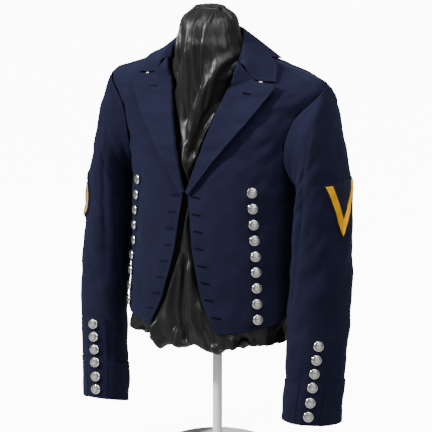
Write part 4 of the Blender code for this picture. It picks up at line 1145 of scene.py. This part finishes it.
def make_badge():
    share = np.linspace(-1, 1, 49)
    u, v = np.meshgrid(share, share)
    arc = BADGE_ARC + u * np.sqrt(1 - v * v / 2) * (BADGE_HALF_WIDTH + BADGE_MARGIN)
    z = BADGE_CENTRE_Z + v * np.sqrt(1 - u * u / 2) * (BADGE_HALF_HEIGHT + BADGE_MARGIN)
    felt = wall("badge_backing", *sleeve_patch("right", arc, z, SKIN_LIFT), SKIN,
                (WOOL_BACKING,), (False,) * 4)
    turn = np.radians(np.arange(264) * 360 / 264)[None, :]
    ring = np.linspace(1.0, BADGE_RING_INNER, 14)[:, None]
    middle = 1 - np.abs(2 * (1 - ring) / (1 - BADGE_RING_INNER) - 1)
    leaves = 0.0007 * np.abs(np.sin(turn * BADGE_LEAVES / 2 + 5 * (1 - ring))) * middle
    arc = BADGE_ARC + BADGE_HALF_WIDTH * ring * np.sin(turn)
    z = BADGE_CENTRE_Z + BADGE_HALF_HEIGHT * ring * np.cos(turn)
    wreath = wall("badge_ring", *sleeve_patch("right", arc, z, MARK_LIFT), SKIN, (GILT_THREAD,),
                  (False,) * 4, closed=True, relief=leaves, slot="braid_gold")
    turn = np.radians(np.arange(160) * 360 / 160)[None, :]
    beat = np.abs((np.arange(160) / 20 % 1) * 2 - 1)[None, :]
    reach = 0.5 + 0.5 * beat
    size = np.linspace(1.0, 0.12, 14)[:, None] * BADGE_STAR_RADIUS
    ridge = 0.0009 * beat * (1 - size / BADGE_STAR_RADIUS)
    arc = BADGE_ARC + size * reach * np.sin(turn)
    z = BADGE_CENTRE_Z + size * reach * np.cos(turn)
    star = wall("badge_star", *sleeve_patch("right", arc, z, MARK_LIFT), SKIN, (GILT_THREAD,),
                (False,) * 4, closed=True, relief=ridge, slot="braid_gold")
    return felt, wreath, star


def lapel_place(u, v):
    """Width and height at a share u across the lapel and v up it."""
    roll = np.stack([CLOSURE[0] + (GORGE_TOP[0] - CLOSURE[0]) * v,
                     CLOSURE[1] + (GORGE_TOP[1] - CLOSURE[1]) * v], -1)
    edge_x = smooth_rows(LAPEL_EDGE, v * (len(LAPEL_EDGE) - 1))
    plain = roll + (edge_x - roll) * u[..., None]
    top_u = (0.0, 0.36, 1.0)
    top = np.stack([np.interp(u, top_u, (GORGE_TOP[0], GORGE_END[0], LAPEL_TIP[0])),
                    np.interp(u, top_u, (GORGE_TOP[1], GORGE_END[1], LAPEL_TIP[1]))], -1)
    straight = np.array(GORGE_TOP) + (np.array(LAPEL_TIP) - np.array(GORGE_TOP)) * u[..., None]
    return plain + (top - straight) * v[..., None] ** 3


def make_lapel(side):
    steps = np.array(EDGE_STEPS)
    ends = steps / 0.25
    up = np.concatenate([ends, np.linspace(ends[-1], 1 - ends[-1], 84)[1:-1], 1 - ends[::-1]])
    inner = np.concatenate([np.linspace(0, 0.36, 12), np.linspace(0.36, 0.80, 16)[1:]])
    width = 0.004 + 0.085 * up[:, None]
    outer = 1 - np.minimum(steps / width, 0.2 * steps / steps[-1])[:, ::-1]
    u = np.concatenate([np.broadcast_to(inner, (len(up), len(inner))), outer], axis=1)
    v = np.broadcast_to(up[:, None], u.shape)
    place = lapel_place(u, v)
    place[..., 1] -= np.where(u > 0.37, NOTCH_GAP, GORGE_GAP) * v ** 6
    angle, level = front_at(place[..., 0], place[..., 1])
    offset = lapel_lift(u, v) - fold_depth(TORSO_FOLDS, side, TORSO_METRIC, angle, level)
    base_normal = body_normal(angle, level)
    flat = body_section(angle, level) + base_normal * offset[..., None]
    roll = flat[:, :1]
    outward = unit(roll - flat[:, 1:2])
    normal = base_normal[:, :1]
    turn = [roll + outward * across + normal * (rise - LAPEL_LIFT) for across, rise in ROLL_TURN]
    keys = np.concatenate(turn + [flat[:, :2]], axis=1)
    bend = np.array([smooth_rows(row, np.linspace(0, 4, 17)[:-1]) for row in keys])
    points = np.concatenate([bend, flat], axis=1)
    facing = np.concatenate([np.zeros_like(bend), base_normal], axis=1)
    return wall("lapel_" + side, flip(side, points), flip(side, facing), WALL, (WOOL_NAVY,),
                (False, True, False, True))


def front_point(x, z, lift):
    angle, level = front_at(x, z)
    return body_section(angle, level) + body_normal(angle, level) * lift


def collar_controls():
    """Six points across the collar at each station, from the back to the front end."""
    stations = []
    for row in COLLAR_STATIONS:
        seam_angle, x, y, z, edge_angle, edge_level, lift = row
        bottom = body_section(seam_angle, NECK_LEVEL) + np.array([0.0, 0.0, COLLAR_SEAM_RISE])
        roll = np.array([x, y, z])
        edge = body_section(edge_angle, edge_level) + body_normal(edge_angle, edge_level) * lift
        away = unit(roll - np.array([0.0, NECK_MIDDLE_Y, z]))
        stand = bottom * 0.45 + roll * 0.55 + away * 0.0015
        over = roll + away * COLLAR_ROLL * 1.7 - np.array([0.0, 0.0, COLLAR_ROLL])
        middle = over * 0.5 + edge * 0.5 + away * 0.001
        stations.append([bottom, stand, roll, over, middle, edge])
    for seam, roll, middle, edge in COLLAR_FRONT:
        bottom = front_point(*seam, 0.0) + COLLAR_INSIDE * 0.0026
        top = np.array(roll)
        stand = bottom * 0.5 + top * 0.5 + COLLAR_INSIDE * 0.0012
        over = front_point(seam[0] + COLLAR_OVER_STEP[0], seam[1] + COLLAR_OVER_STEP[1],
                           COLLAR_LIFT + 0.001)
        stations.append([bottom, stand, top, over, front_point(*middle, COLLAR_LIFT),
                         front_point(*edge, COLLAR_LIFT + COLLAR_EDGE_EXTRA)])
    return np.array(stations)


def make_collar():
    half = collar_controls()
    whole = np.concatenate([half[:0:-1] * np.array([-1.0, 1.0, 1.0]), half])
    count = len(whole) - 1
    steps = np.array(EDGE_STEPS)
    ends = steps / 0.03
    along = np.concatenate([ends, np.linspace(ends[-1], count - ends[-1], 112)[1:-1],
                            count - ends[::-1]])
    across = np.concatenate([np.linspace(0, 4.72, 40), 5 - steps[::-1][1:] / 0.027])
    rows = smooth_rows(whole.reshape(count + 1, -1), along).reshape(len(along), 6, 3)
    points = np.array([smooth_rows(row, across) for row in rows])
    facing = points - np.array([0.0, NECK_MIDDLE_Y, 0.66])
    facing = facing * (across > 3.4)[None, :, None]
    return wall("collar", points, facing, WALL, (WOOL_NAVY,), (True, True, False, True))


def button_mesh():
    """A domed, shanked button with a beaded rim and a plain rosette."""
    radii = np.concatenate([np.linspace(0, 0.86, 22), [0.88, 0.90, 0.925, 0.95, 0.975, 0.99, 1.0]])
    turn = np.linspace(0, 2 * np.pi, 72, endpoint=False)
    radius, angle = np.meshgrid(radii, turn, indexing="ij")
    dome = 0.0030 + 0.0036 * np.sqrt(np.clip(1 - (radius / 1.06) ** 2, 0, 1))
    petals = np.abs(np.cos(angle * 4)) * np.exp(-((radius - 0.36) / 0.17) ** 2)
    ring = np.exp(-((radius - 0.66) / 0.035) ** 2)
    leaves = np.abs(np.sin(angle * 12 + radius * 9)) * np.exp(-((radius - 0.66) / 0.09) ** 2)
    boss = np.exp(-(radius / 0.12) ** 2)
    bead = np.exp(-((radius - 0.93) / 0.045) ** 2)
    raised = np.clip(0.9 * petals + 0.7 * leaves + boss + bead, 0, 1)
    height = dome + 0.00034 * raised - 0.00006 * ring
    height = np.where(radius >= 0.99, 0.0029, height)
    low = np.clip(1 - 1.5 * raised, 0, 1) * (radius < 0.84) * (radius > 0.18)
    size = radius * BUTTON_RADIUS
    top = np.stack([size * np.cos(angle), size * np.sin(angle), height], -1)
    back = [(0.0089, 0.0026), (0.0060, 0.0022), (0.0031, 0.0019), (0.0030, 0.0010), (0.0030, 0.0)]
    under = np.array([[(r * math.cos(a), r * math.sin(a), z) for a in turn] for r, z in back])
    points = np.concatenate([top, under])
    faces = grid_faces(len(points), len(turn), True, False)
    mesh = bpy.data.meshes.new("uniform_button")
    mesh.from_pydata(points.reshape(-1, 3).tolist(), [], faces.tolist())
    mesh.materials.append(BUTTON_NICKEL)
    layer = mesh.attributes.new("relief", "FLOAT", "POINT")
    sunk = np.concatenate([low, np.zeros(under.shape[:2])]).ravel()
    layer.data.foreach_set("value", sunk.astype(np.float32))
    mesh.shade_smooth()
    return mesh


def sew_button(name, mesh, place, normal, spin):
    """A button with its own +Z along the cloth's normal."""
    button = bpy.data.objects.new(name, mesh)
    turn = Vector(normal).to_track_quat("Z", "Y").to_matrix().to_4x4()
    button.matrix_world = (Matrix.Translation(Vector(place) + Vector((0.0, 0.0, RISE))) @ turn
                           @ Matrix.Rotation(spin, 4, "Z"))
    bpy.context.collection.objects.link(button)
    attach(button, "root")
    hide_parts(name)


def sew_front_buttons(side, mesh):
    share = np.linspace(0, 1, FRONT_BUTTONS)
    x = FRONT_BUTTON_TOP[0] + (FRONT_BUTTON_BOTTOM[0] - FRONT_BUTTON_TOP[0]) * share
    z = FRONT_BUTTON_TOP[1] + (FRONT_BUTTON_BOTTOM[1] - FRONT_BUTTON_TOP[1]) * share
    angle, level = front_at(x, z)
    places = flip(side, body_point(side, angle, level, WALL / 2 + LAP_GAP))
    normals = flip(side, body_normal(angle, level))
    for index in range(FRONT_BUTTONS):
        sew_button("front_button_%s_%d" % (side, index + 1), mesh, places[index], normals[index],
                   0.7 * index)


def sew_cuff_buttons(side, mesh):
    station = np.linspace(*CUFF_BUTTON_STATIONS, CUFF_BUTTONS)
    lift = PLACKET_LIFT + SKIN / 2 + LAP_GAP
    phi = phi_at(side, placket_arc(side, station), 8.0)
    places = flip(side, sleeve_point(side, phi, station, lift))
    normals = flip(side, sleeve_normal(side, phi, station))
    for index in range(CUFF_BUTTONS):
        sew_button("cuff_button_%s_%d" % (side, index + 1), mesh, places[index], normals[index],
                   0.9 * index)


def on_front(side, x, z, lift):
    """Point over the front of the jacket by its width and height."""
    angle, level = front_at(x, z)
    return flip(side, body_point(side, angle, level, lift))


def lapel_lift(u, v):
    """How far the middle of the lapel stands off the torso."""
    across = np.clip((u - LAPEL_SPRING_START) / (1 - LAPEL_SPRING_START), 0, 1)
    spring = LAPEL_SPRING * across ** 2 * ease(v / LAPEL_SPRING_FULL)
    return LAPEL_LIFT + (LAPEL_EDGE_LIFT - LAPEL_LIFT) * u + spring


def thread_tube(side, line, closed, radius, base_lift):
    """A low cord of thread along a line of widths and heights laid on the cloth."""
    line = np.asarray(line)
    ahead = np.roll(line, -1, 0) - np.roll(line, 1, 0) if closed else np.gradient(line, axis=0)
    cross = unit(np.stack([-ahead[:, 1], ahead[:, 0]], -1))
    turn = np.radians(np.arange(8) * 45.0)
    steps = np.linalg.norm(np.diff(line, axis=0), axis=1)
    run = np.concatenate([[0.0], np.cumsum(steps)])
    swell = radius * (1 + 0.18 * np.sin(2 * np.pi * run / 0.0013))[:, None]
    taper = 1.0 if closed else np.sqrt(np.clip(np.sin(np.pi * np.linspace(0.02, 0.98, len(line))),
                                               0, 1))[:, None]
    spread = line[:, None, :] + cross[:, None, :] * (swell * taper * np.cos(turn))[..., None]
    lift = base_lift + swell * taper * (0.75 * np.sin(turn) + 0.35)
    points = on_front(side, spread[..., 0], spread[..., 1], lift)
    rows, columns = points.shape[:2]
    if closed:
        points = np.concatenate([points, points[:1]])
        rows += 1
    faces = grid_faces(rows, columns, True, False)
    cloth = np.stack(np.broadcast_arrays(turn[None, :] * radius, np.resize(run, rows)[:, None],
                                         NO_STITCH), -1).reshape(-1, 3)
    return points.reshape(-1, 3), faces, cloth


def make_buttonhole(side, name, start, end, lift):
    """A worked buttonhole: thread wound round a slit."""
    start, end = np.array(start), np.array(end)
    ahead = unit(end - start)
    aside = np.array([-ahead[1], ahead[0]])
    half = HOLE_WIDTH / 2 - 0.0008
    turn = np.linspace(-np.pi / 2, np.pi / 2, 13)
    cap = half * np.stack([np.cos(turn), np.sin(turn)], -1)
    length = np.linalg.norm(end - start)
    straight = np.linspace(0, length, 40)[1:-1]
    local = np.concatenate([cap + [length, 0], np.stack([straight[::-1], 0 * straight + half], -1),
                            -cap, np.stack([straight, 0 * straight - half], -1)])
    line = start + local[:, :1] * ahead + local[:, 1:] * aside
    points, faces, cloth = thread_tube(side, line, True, 0.0008, lift)
    # A flat strip across the slit: on the left front it takes slit_shadow, painted shade standing
    # in for the dark opening
    spots = np.linspace(0, length, 12)[:, None, None] * ahead
    strip = start + spots + np.array([-half, half])[None, :, None] * aside
    slit = on_front(side, strip[..., 0], strip[..., 1], lift + 0.00025)
    slit_faces = grid_faces(12, 2, False, False) + len(points)
    which = np.concatenate([np.zeros(len(faces)), np.ones(len(slit_faces))])
    plain = np.zeros((24, 3)) + [0.0, 0.0, NO_STITCH]
    return dress_piece(name, np.concatenate([points, slit.reshape(-1, 3)]),
                       np.concatenate([faces, slit_faces]),
                       (HOLE_THREAD, SLIT_SHADOW) if side == "left" else (WORN_THREAD,) * 2,
                       np.concatenate([cloth, plain]), which)


def make_hole_row(side):
    for index in range(HOLE_COUNT):
        z = HOLE_TOP_Z - HOLE_PITCH * index
        x = by_steps(FRONT_EDGE, z) + HOLE_INSET
        make_buttonhole(side, "buttonhole_%s_%d" % (side, index + 1), (x, z),
                        (x + HOLE_LENGTH, z - HOLE_DROP), WALL / 2)


def make_lapel_hole(side):
    """The buttonhole of the lapel, without a button."""
    lift = lapel_lift(*np.array(LAPEL_HOLE_SHARE)) + WALL / 2 - HOLE_SINK
    make_buttonhole(side, "lapel_hole_" + side, *LAPEL_HOLE, lift)


def make_tack(side):
    """The pale thread bar at the inner end of the notch."""
    line = np.array(NOTCH_TACK[0]) + np.linspace(0, 1, 14)[:, None] * (
        np.array(NOTCH_TACK[1]) - np.array(NOTCH_TACK[0]))
    lift = LAPEL_EDGE_LIFT + WALL / 2 + TACK_CLEARANCE
    points, faces, cloth = thread_tube(side, line, False, TACK_RADIUS, lift)
    return dress_piece("notch_tack_" + side, points, faces, (TACK_THREAD,), cloth)


def bust_point(angle, level):
    """Point of the covered bust under the jacket, drawn in from the jacket's own surface."""
    half = np.abs(angle)
    inset = by_steps(BUST_INSET, level)
    ridge = ease(1 - np.abs(half - 90) / SHOULDER_REST_ANGLE) * ease((level - 5.9) / 0.25)
    inset = inset + (BUST_REST - inset) * ridge
    ahead = ease((AHEAD_ANGLES[1] - half) / (AHEAD_ANGLES[1] - AHEAD_ANGLES[0]))[..., None]
    normal = body_normal(half, level) * (1 - ahead) + np.array([0.0, -1.0, 0.0]) * ahead
    place = body_section(half, level) - normal * inset[..., None]
    opening = by_steps(FRONT_EDGE, place[..., 2]) - DRAPE_MARGIN
    inside = ease((opening - place[..., 0]) / DRAPE_FADE) * (half < 90)
    forward = np.minimum(drape_line(place[..., 0], place[..., 2]), place[..., 1])
    place[..., 1] += (forward - place[..., 1]) * inside
    place[..., 0] *= np.where(angle < 0, -1.0, 1.0)
    return place


def drape_line(x, z):
    """How far ahead the cover hangs between the chest and the front of the neck."""
    foot_z, foot_half, foot_y = DRAPE_FOOT
    neck_z, neck_half, neck_y, _ = NECK_SECTIONS[0]
    foot = foot_y * np.sqrt(np.clip(1 - (x / foot_half) ** 2, 0, 1))
    bow = np.sqrt(np.clip(1 - (x / neck_half) ** 2, 0, 1))
    neck = NECK_MIDDLE_Y + (neck_y - NECK_MIDDLE_Y) * bow
    share = (z - foot_z) / (neck_z - foot_z)
    return np.where(share > 0, foot + (neck - foot) * share, 0.0)


def cover_rings():
    """Rings of the cover from the gathered hole round the pole up to the top of the neck."""
    angle = np.concatenate([np.linspace(-62, 62, 210, endpoint=False),
                            np.linspace(62, 180, 66, endpoint=False),
                            np.linspace(-180, -62, 66, endpoint=False)])
    low = bust_point(angle, np.full_like(angle, COVER_FIRST_LEVEL))
    rings = []
    for share in np.linspace(0.13, 0.80, 9)[:-1]:
        rings.append(low * [share, share, 0.0] + [0.0, 0.0, BUST_BOTTOM_Z])
    for turn in np.linspace(0, np.pi / 2, 10):
        share = 0.80 + 0.20 * math.sin(turn)
        height = BUST_BOTTOM_Z + (low[:, 2:] - BUST_BOTTOM_Z) * (1 - math.cos(turn))
        rings.append(np.concatenate([low[:, :2] * share, height], axis=1))
    levels = np.concatenate([np.linspace(COVER_FIRST_LEVEL, 5.7, 104)[1:],
                             np.linspace(5.7, NECK_LEVEL - 0.02, 36)[1:]])
    rings += [bust_point(angle, np.full_like(angle, level)) for level in levels]
    turn = np.radians(angle)
    neck = [rings[-6], rings[-1]]
    for z, half_width, front_y, back_y in NECK_SECTIONS:
        depth = np.where(np.cos(turn) > 0, NECK_MIDDLE_Y - front_y, back_y - NECK_MIDDLE_Y)
        neck.append(np.stack([half_width * np.sin(turn), NECK_MIDDLE_Y - depth * np.cos(turn),
                              np.full_like(turn, z)], -1))
    table = np.array(neck).reshape(len(neck), -1)
    for station in np.linspace(1, len(neck) - 1, 46)[1:]:
        rings.append(smooth_rows(table, station).reshape(-1, 3))
    top = rings[-1]
    middle = np.array([0.0, NECK_MIDDLE_Y + 0.004, top[0, 2]])
    for turn in np.linspace(0, np.pi / 2, 16)[1:]:
        share = max(math.cos(turn), 0.01)
        rings.append(middle + (top - middle) * [share, share, 0.0]
                     + [0.0, 0.0, CROWN_RISE * math.sin(turn)])
    return angle, np.array(rings)


def line_distance(points, line):
    """Distance from a line of points, and the share of the way along it."""
    line = np.asarray(line, float)
    steps = np.linalg.norm(np.diff(line, axis=0), axis=1)
    best = np.full(points.shape[:-1], np.inf)
    share = np.zeros(points.shape[:-1])
    done = 0.0
    for start, end, length in zip(line[:-1], line[1:], steps):
        along = np.clip((points - start) @ (end - start) / length ** 2, 0, 1)
        distance = np.linalg.norm(points - start - along[..., None] * (end - start), axis=-1)
        nearer = distance < best
        best = np.where(nearer, distance, best)
        share = np.where(nearer, (done + along * length) / steps.sum(), share)
        done += length
    return best, share


def drape_cover(angle, rings):
    """Folds and gathers of the cover where the jacket leaves it bare."""
    x, y, z = np.moveaxis(rings, -1, 0)
    half_angle = np.abs(angle)[None, :]
    ahead = (half_angle < 80) & (y < 0.0)
    opening = by_steps(FRONT_EDGE, z)
    bare = ease((opening - EDGE_CLEAR - np.abs(x)) / EDGE_FADE) * ahead
    below = ease((by_steps(HEM_BY_ANGLE, half_angle) - 0.004 - z) / 0.020)
    neck = ease((z - 0.716) / 0.010)
    shown = np.maximum(np.maximum(bare, below), neck)
    place = np.stack([x, z], -1)
    height = np.zeros_like(x)
    for half_width, rise, line in COVER_FOLDS:
        distance, share = line_distance(place, line)
        ends = ease(share / 0.12) * ease((1 - share) / 0.12)
        height += rise * ends * np.exp(-(distance / half_width) ** 2)
    away = np.abs(z - CLOSURE[1])
    fan = np.arctan2(x, away + 0.01)
    for turns, bend, phase, depth in COVER_WRINKLES:
        wave = np.sin(turns * fan + 0.9 * np.sin(bend * z + phase))
        patch = 0.5 + 0.5 * np.sin(PATCH_TURN_SHARE * turns * fan + PATCH_RISE * z + 2 * phase)
        height += depth * wave * patch * np.minimum(np.hypot(x, away) / WRINKLE_REACH, 1)
    swell = COVER_SWELL * bare * ease((SWELL_TOP_Z - z) / SWELL_FADE)
    height = height * ahead * shown + swell
    turn = np.radians(angle)[None, :]
    gather = 0.0
    for count, phase, depth, twist in COVER_GATHERS:
        gather = gather + depth * (np.sin(count * turn + phase + twist * z) - 0.6)
    fade = ease((GATHER_TOP_Z - z) / (GATHER_TOP_Z - GATHER_FULL_Z))
    height = height + gather * fade * np.maximum(shown, 0.5)
    normal = unit(np.cross(np.roll(rings, -1, 1) - np.roll(rings, 1, 1),
                           np.gradient(rings, axis=0)))
    outward = rings - np.array([0.0, 0.0, 0.45])
    turned = np.sum(normal * outward) < 0
    normal = -normal if turned else normal
    return rings + normal * height[..., None], turned


def make_cover():
    """The cover, one sheet round the bust with its seam at the centre back."""
    angle, rings = cover_rings()
    points, turned = drape_cover(angle, rings)
    # The two edges of the sheet meet at the centre back
    first = int(np.argmin(angle))
    order = np.concatenate([np.arange(first, len(angle)), np.arange(first + 1)])
    points = points[:, order]
    angle = np.append(angle[order[:-1]], 180.0)
    rows, columns = points.shape[:2]
    run = lengths_along(points, 0)
    around = np.broadcast_to(np.radians(angle)[None, :] * 0.15, run.shape)
    cloth = np.stack([around, run, np.full_like(run, NO_STITCH)], -1)
    return dress_piece("satin_cover", points.reshape(-1, 3),
                       grid_faces(rows, columns, False, turned), (SATIN_BLACK,),
                       cloth.reshape(-1, 3), nodes=["bust"])


def make_floor_material():
    """Plain pale floor that keeps its own brightness far from the lights."""
    material, tree, shader = start_material("pale_floor", Roughness=0.9, Specular_IOR_Level=0.1)
    shader["Base Color"].default_value = (0.50, 0.50, 0.50, 1.0)
    seen = tree.nodes.new("ShaderNodeLightPath").outputs["Is Camera Ray"]
    glow = tree.nodes.new("ShaderNodeEmission")
    glow.inputs["Strength"].default_value = SKY_SEEN - 0.6
    both = tree.nodes.new("ShaderNodeAddShader")
    gate = tree.nodes.new("ShaderNodeMixShader")
    surface = shader["Base Color"].node.outputs["BSDF"]
    tree.links.new(surface, both.inputs[0])
    tree.links.new(glow.outputs[0], both.inputs[1])
    tree.links.new(seen, gate.inputs["Fac"])
    tree.links.new(surface, gate.inputs[1])
    tree.links.new(both.outputs[0], gate.inputs[2])
    output = tree.nodes["Material Output"]
    tree.links.new(gate.outputs[0], output.inputs["Surface"])
    return material


def make_studio():
    """Pale floor and surroundings, a soft key light from the camera's left and soft fills."""
    mesh = bpy.data.meshes.new("floor")
    reach = 30.0
    mesh.from_pydata([(-reach, -reach, 0), (reach, -reach, 0), (reach, reach, 0),
                      (-reach, reach, 0)], [], [(0, 1, 2, 3)])
    mesh.materials.append(make_floor_material())
    floor = bpy.data.objects.new("floor", mesh)
    floor.location.z = -0.0005
    bpy.context.collection.objects.link(floor)
    world = bpy.data.worlds.new("studio")
    world.use_nodes = True
    tree = world.node_tree
    sky = tree.nodes["Background"]
    sky.inputs["Color"].default_value = (1.0, 1.0, 1.0, 1.0)
    path = tree.nodes.new("ShaderNodeLightPath")
    glossy = sum_of(tree, "MULTIPLY_ADD", path.outputs["Is Glossy Ray"], SKY_GLOSS - SKY_LIGHT,
                    SKY_LIGHT)
    strength = sum_of(tree, "MULTIPLY_ADD", path.outputs["Is Camera Ray"], SKY_SEEN, glossy)
    tree.links.new(strength, sky.inputs["Strength"])
    bpy.context.scene.world = world
    for name, place, aim, size, watts in LIGHTS:
        lamp = bpy.data.lights.new(name, "AREA")
        lamp.shape = "RECTANGLE"
        lamp.size, lamp.size_y = size
        lamp.energy = watts
        item = bpy.data.objects.new(name, lamp)
        item.location = place
        item.rotation_euler = (Vector(aim) - Vector(place)).to_track_quat("-Z", "Y").to_euler()
        bpy.context.collection.objects.link(item)


def make_camera():
    """Camera at the photograph's angle, distance and frame."""
    azimuth = math.radians(CAMERA_AZIMUTH)
    elevation = math.radians(CAMERA_ELEVATION)
    right = Vector((math.cos(azimuth), math.sin(azimuth), 0.0))
    back = Vector((math.sin(azimuth) * math.cos(elevation),
                   -math.cos(azimuth) * math.cos(elevation), math.sin(elevation)))
    up = back.cross(right)
    aim = (CAMERA_TARGET + right * AIM_RIGHT_PIXELS / PIXELS_PER_METRE
           + up * AIM_UP_PIXELS / PIXELS_PER_METRE)
    lens = bpy.data.cameras.new("photograph")
    lens.sensor_width = SENSOR
    lens.lens = PIXELS_PER_METRE * CAMERA_DISTANCE / FRAME_PIXELS * SENSOR
    lens.clip_end = 100.0
    item = bpy.data.objects.new("photograph", lens)
    item.location = aim + back * CAMERA_DISTANCE
    item.rotation_euler = back.to_track_quat("Z", "Y").to_euler()
    bpy.context.collection.objects.link(item)
    bpy.context.scene.camera = item


def build_scene():
    for side in SIDES:
        make_front(side)
        make_side_body(side)
        make_back(side)
        make_sleeve(side, "top_sleeve", BACK_SLEEVE_SEAM - 360, FRONT_SLEEVE_SEAM, 84)
        make_sleeve(side, "under_sleeve", FRONT_SLEEVE_SEAM, BACK_SLEEVE_SEAM, 36)
        make_cuff(side)
        make_placket(side)
        make_lapel(side)
        make_hole_row(side)
        make_lapel_hole(side)
        make_tack(side)
    make_collar()
    make_chevron()
    make_badge()
    make_cover()
    button = button_mesh()
    for side in SIDES:
        sew_front_buttons(side, button)
        sew_cuff_buttons(side, button)
    for name in ("base", "pole_socket", "pole"):
        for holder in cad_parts[name].material_slots:
            holder.material = STAND_WHITE
    make_studio()
    make_camera()


build_scene()
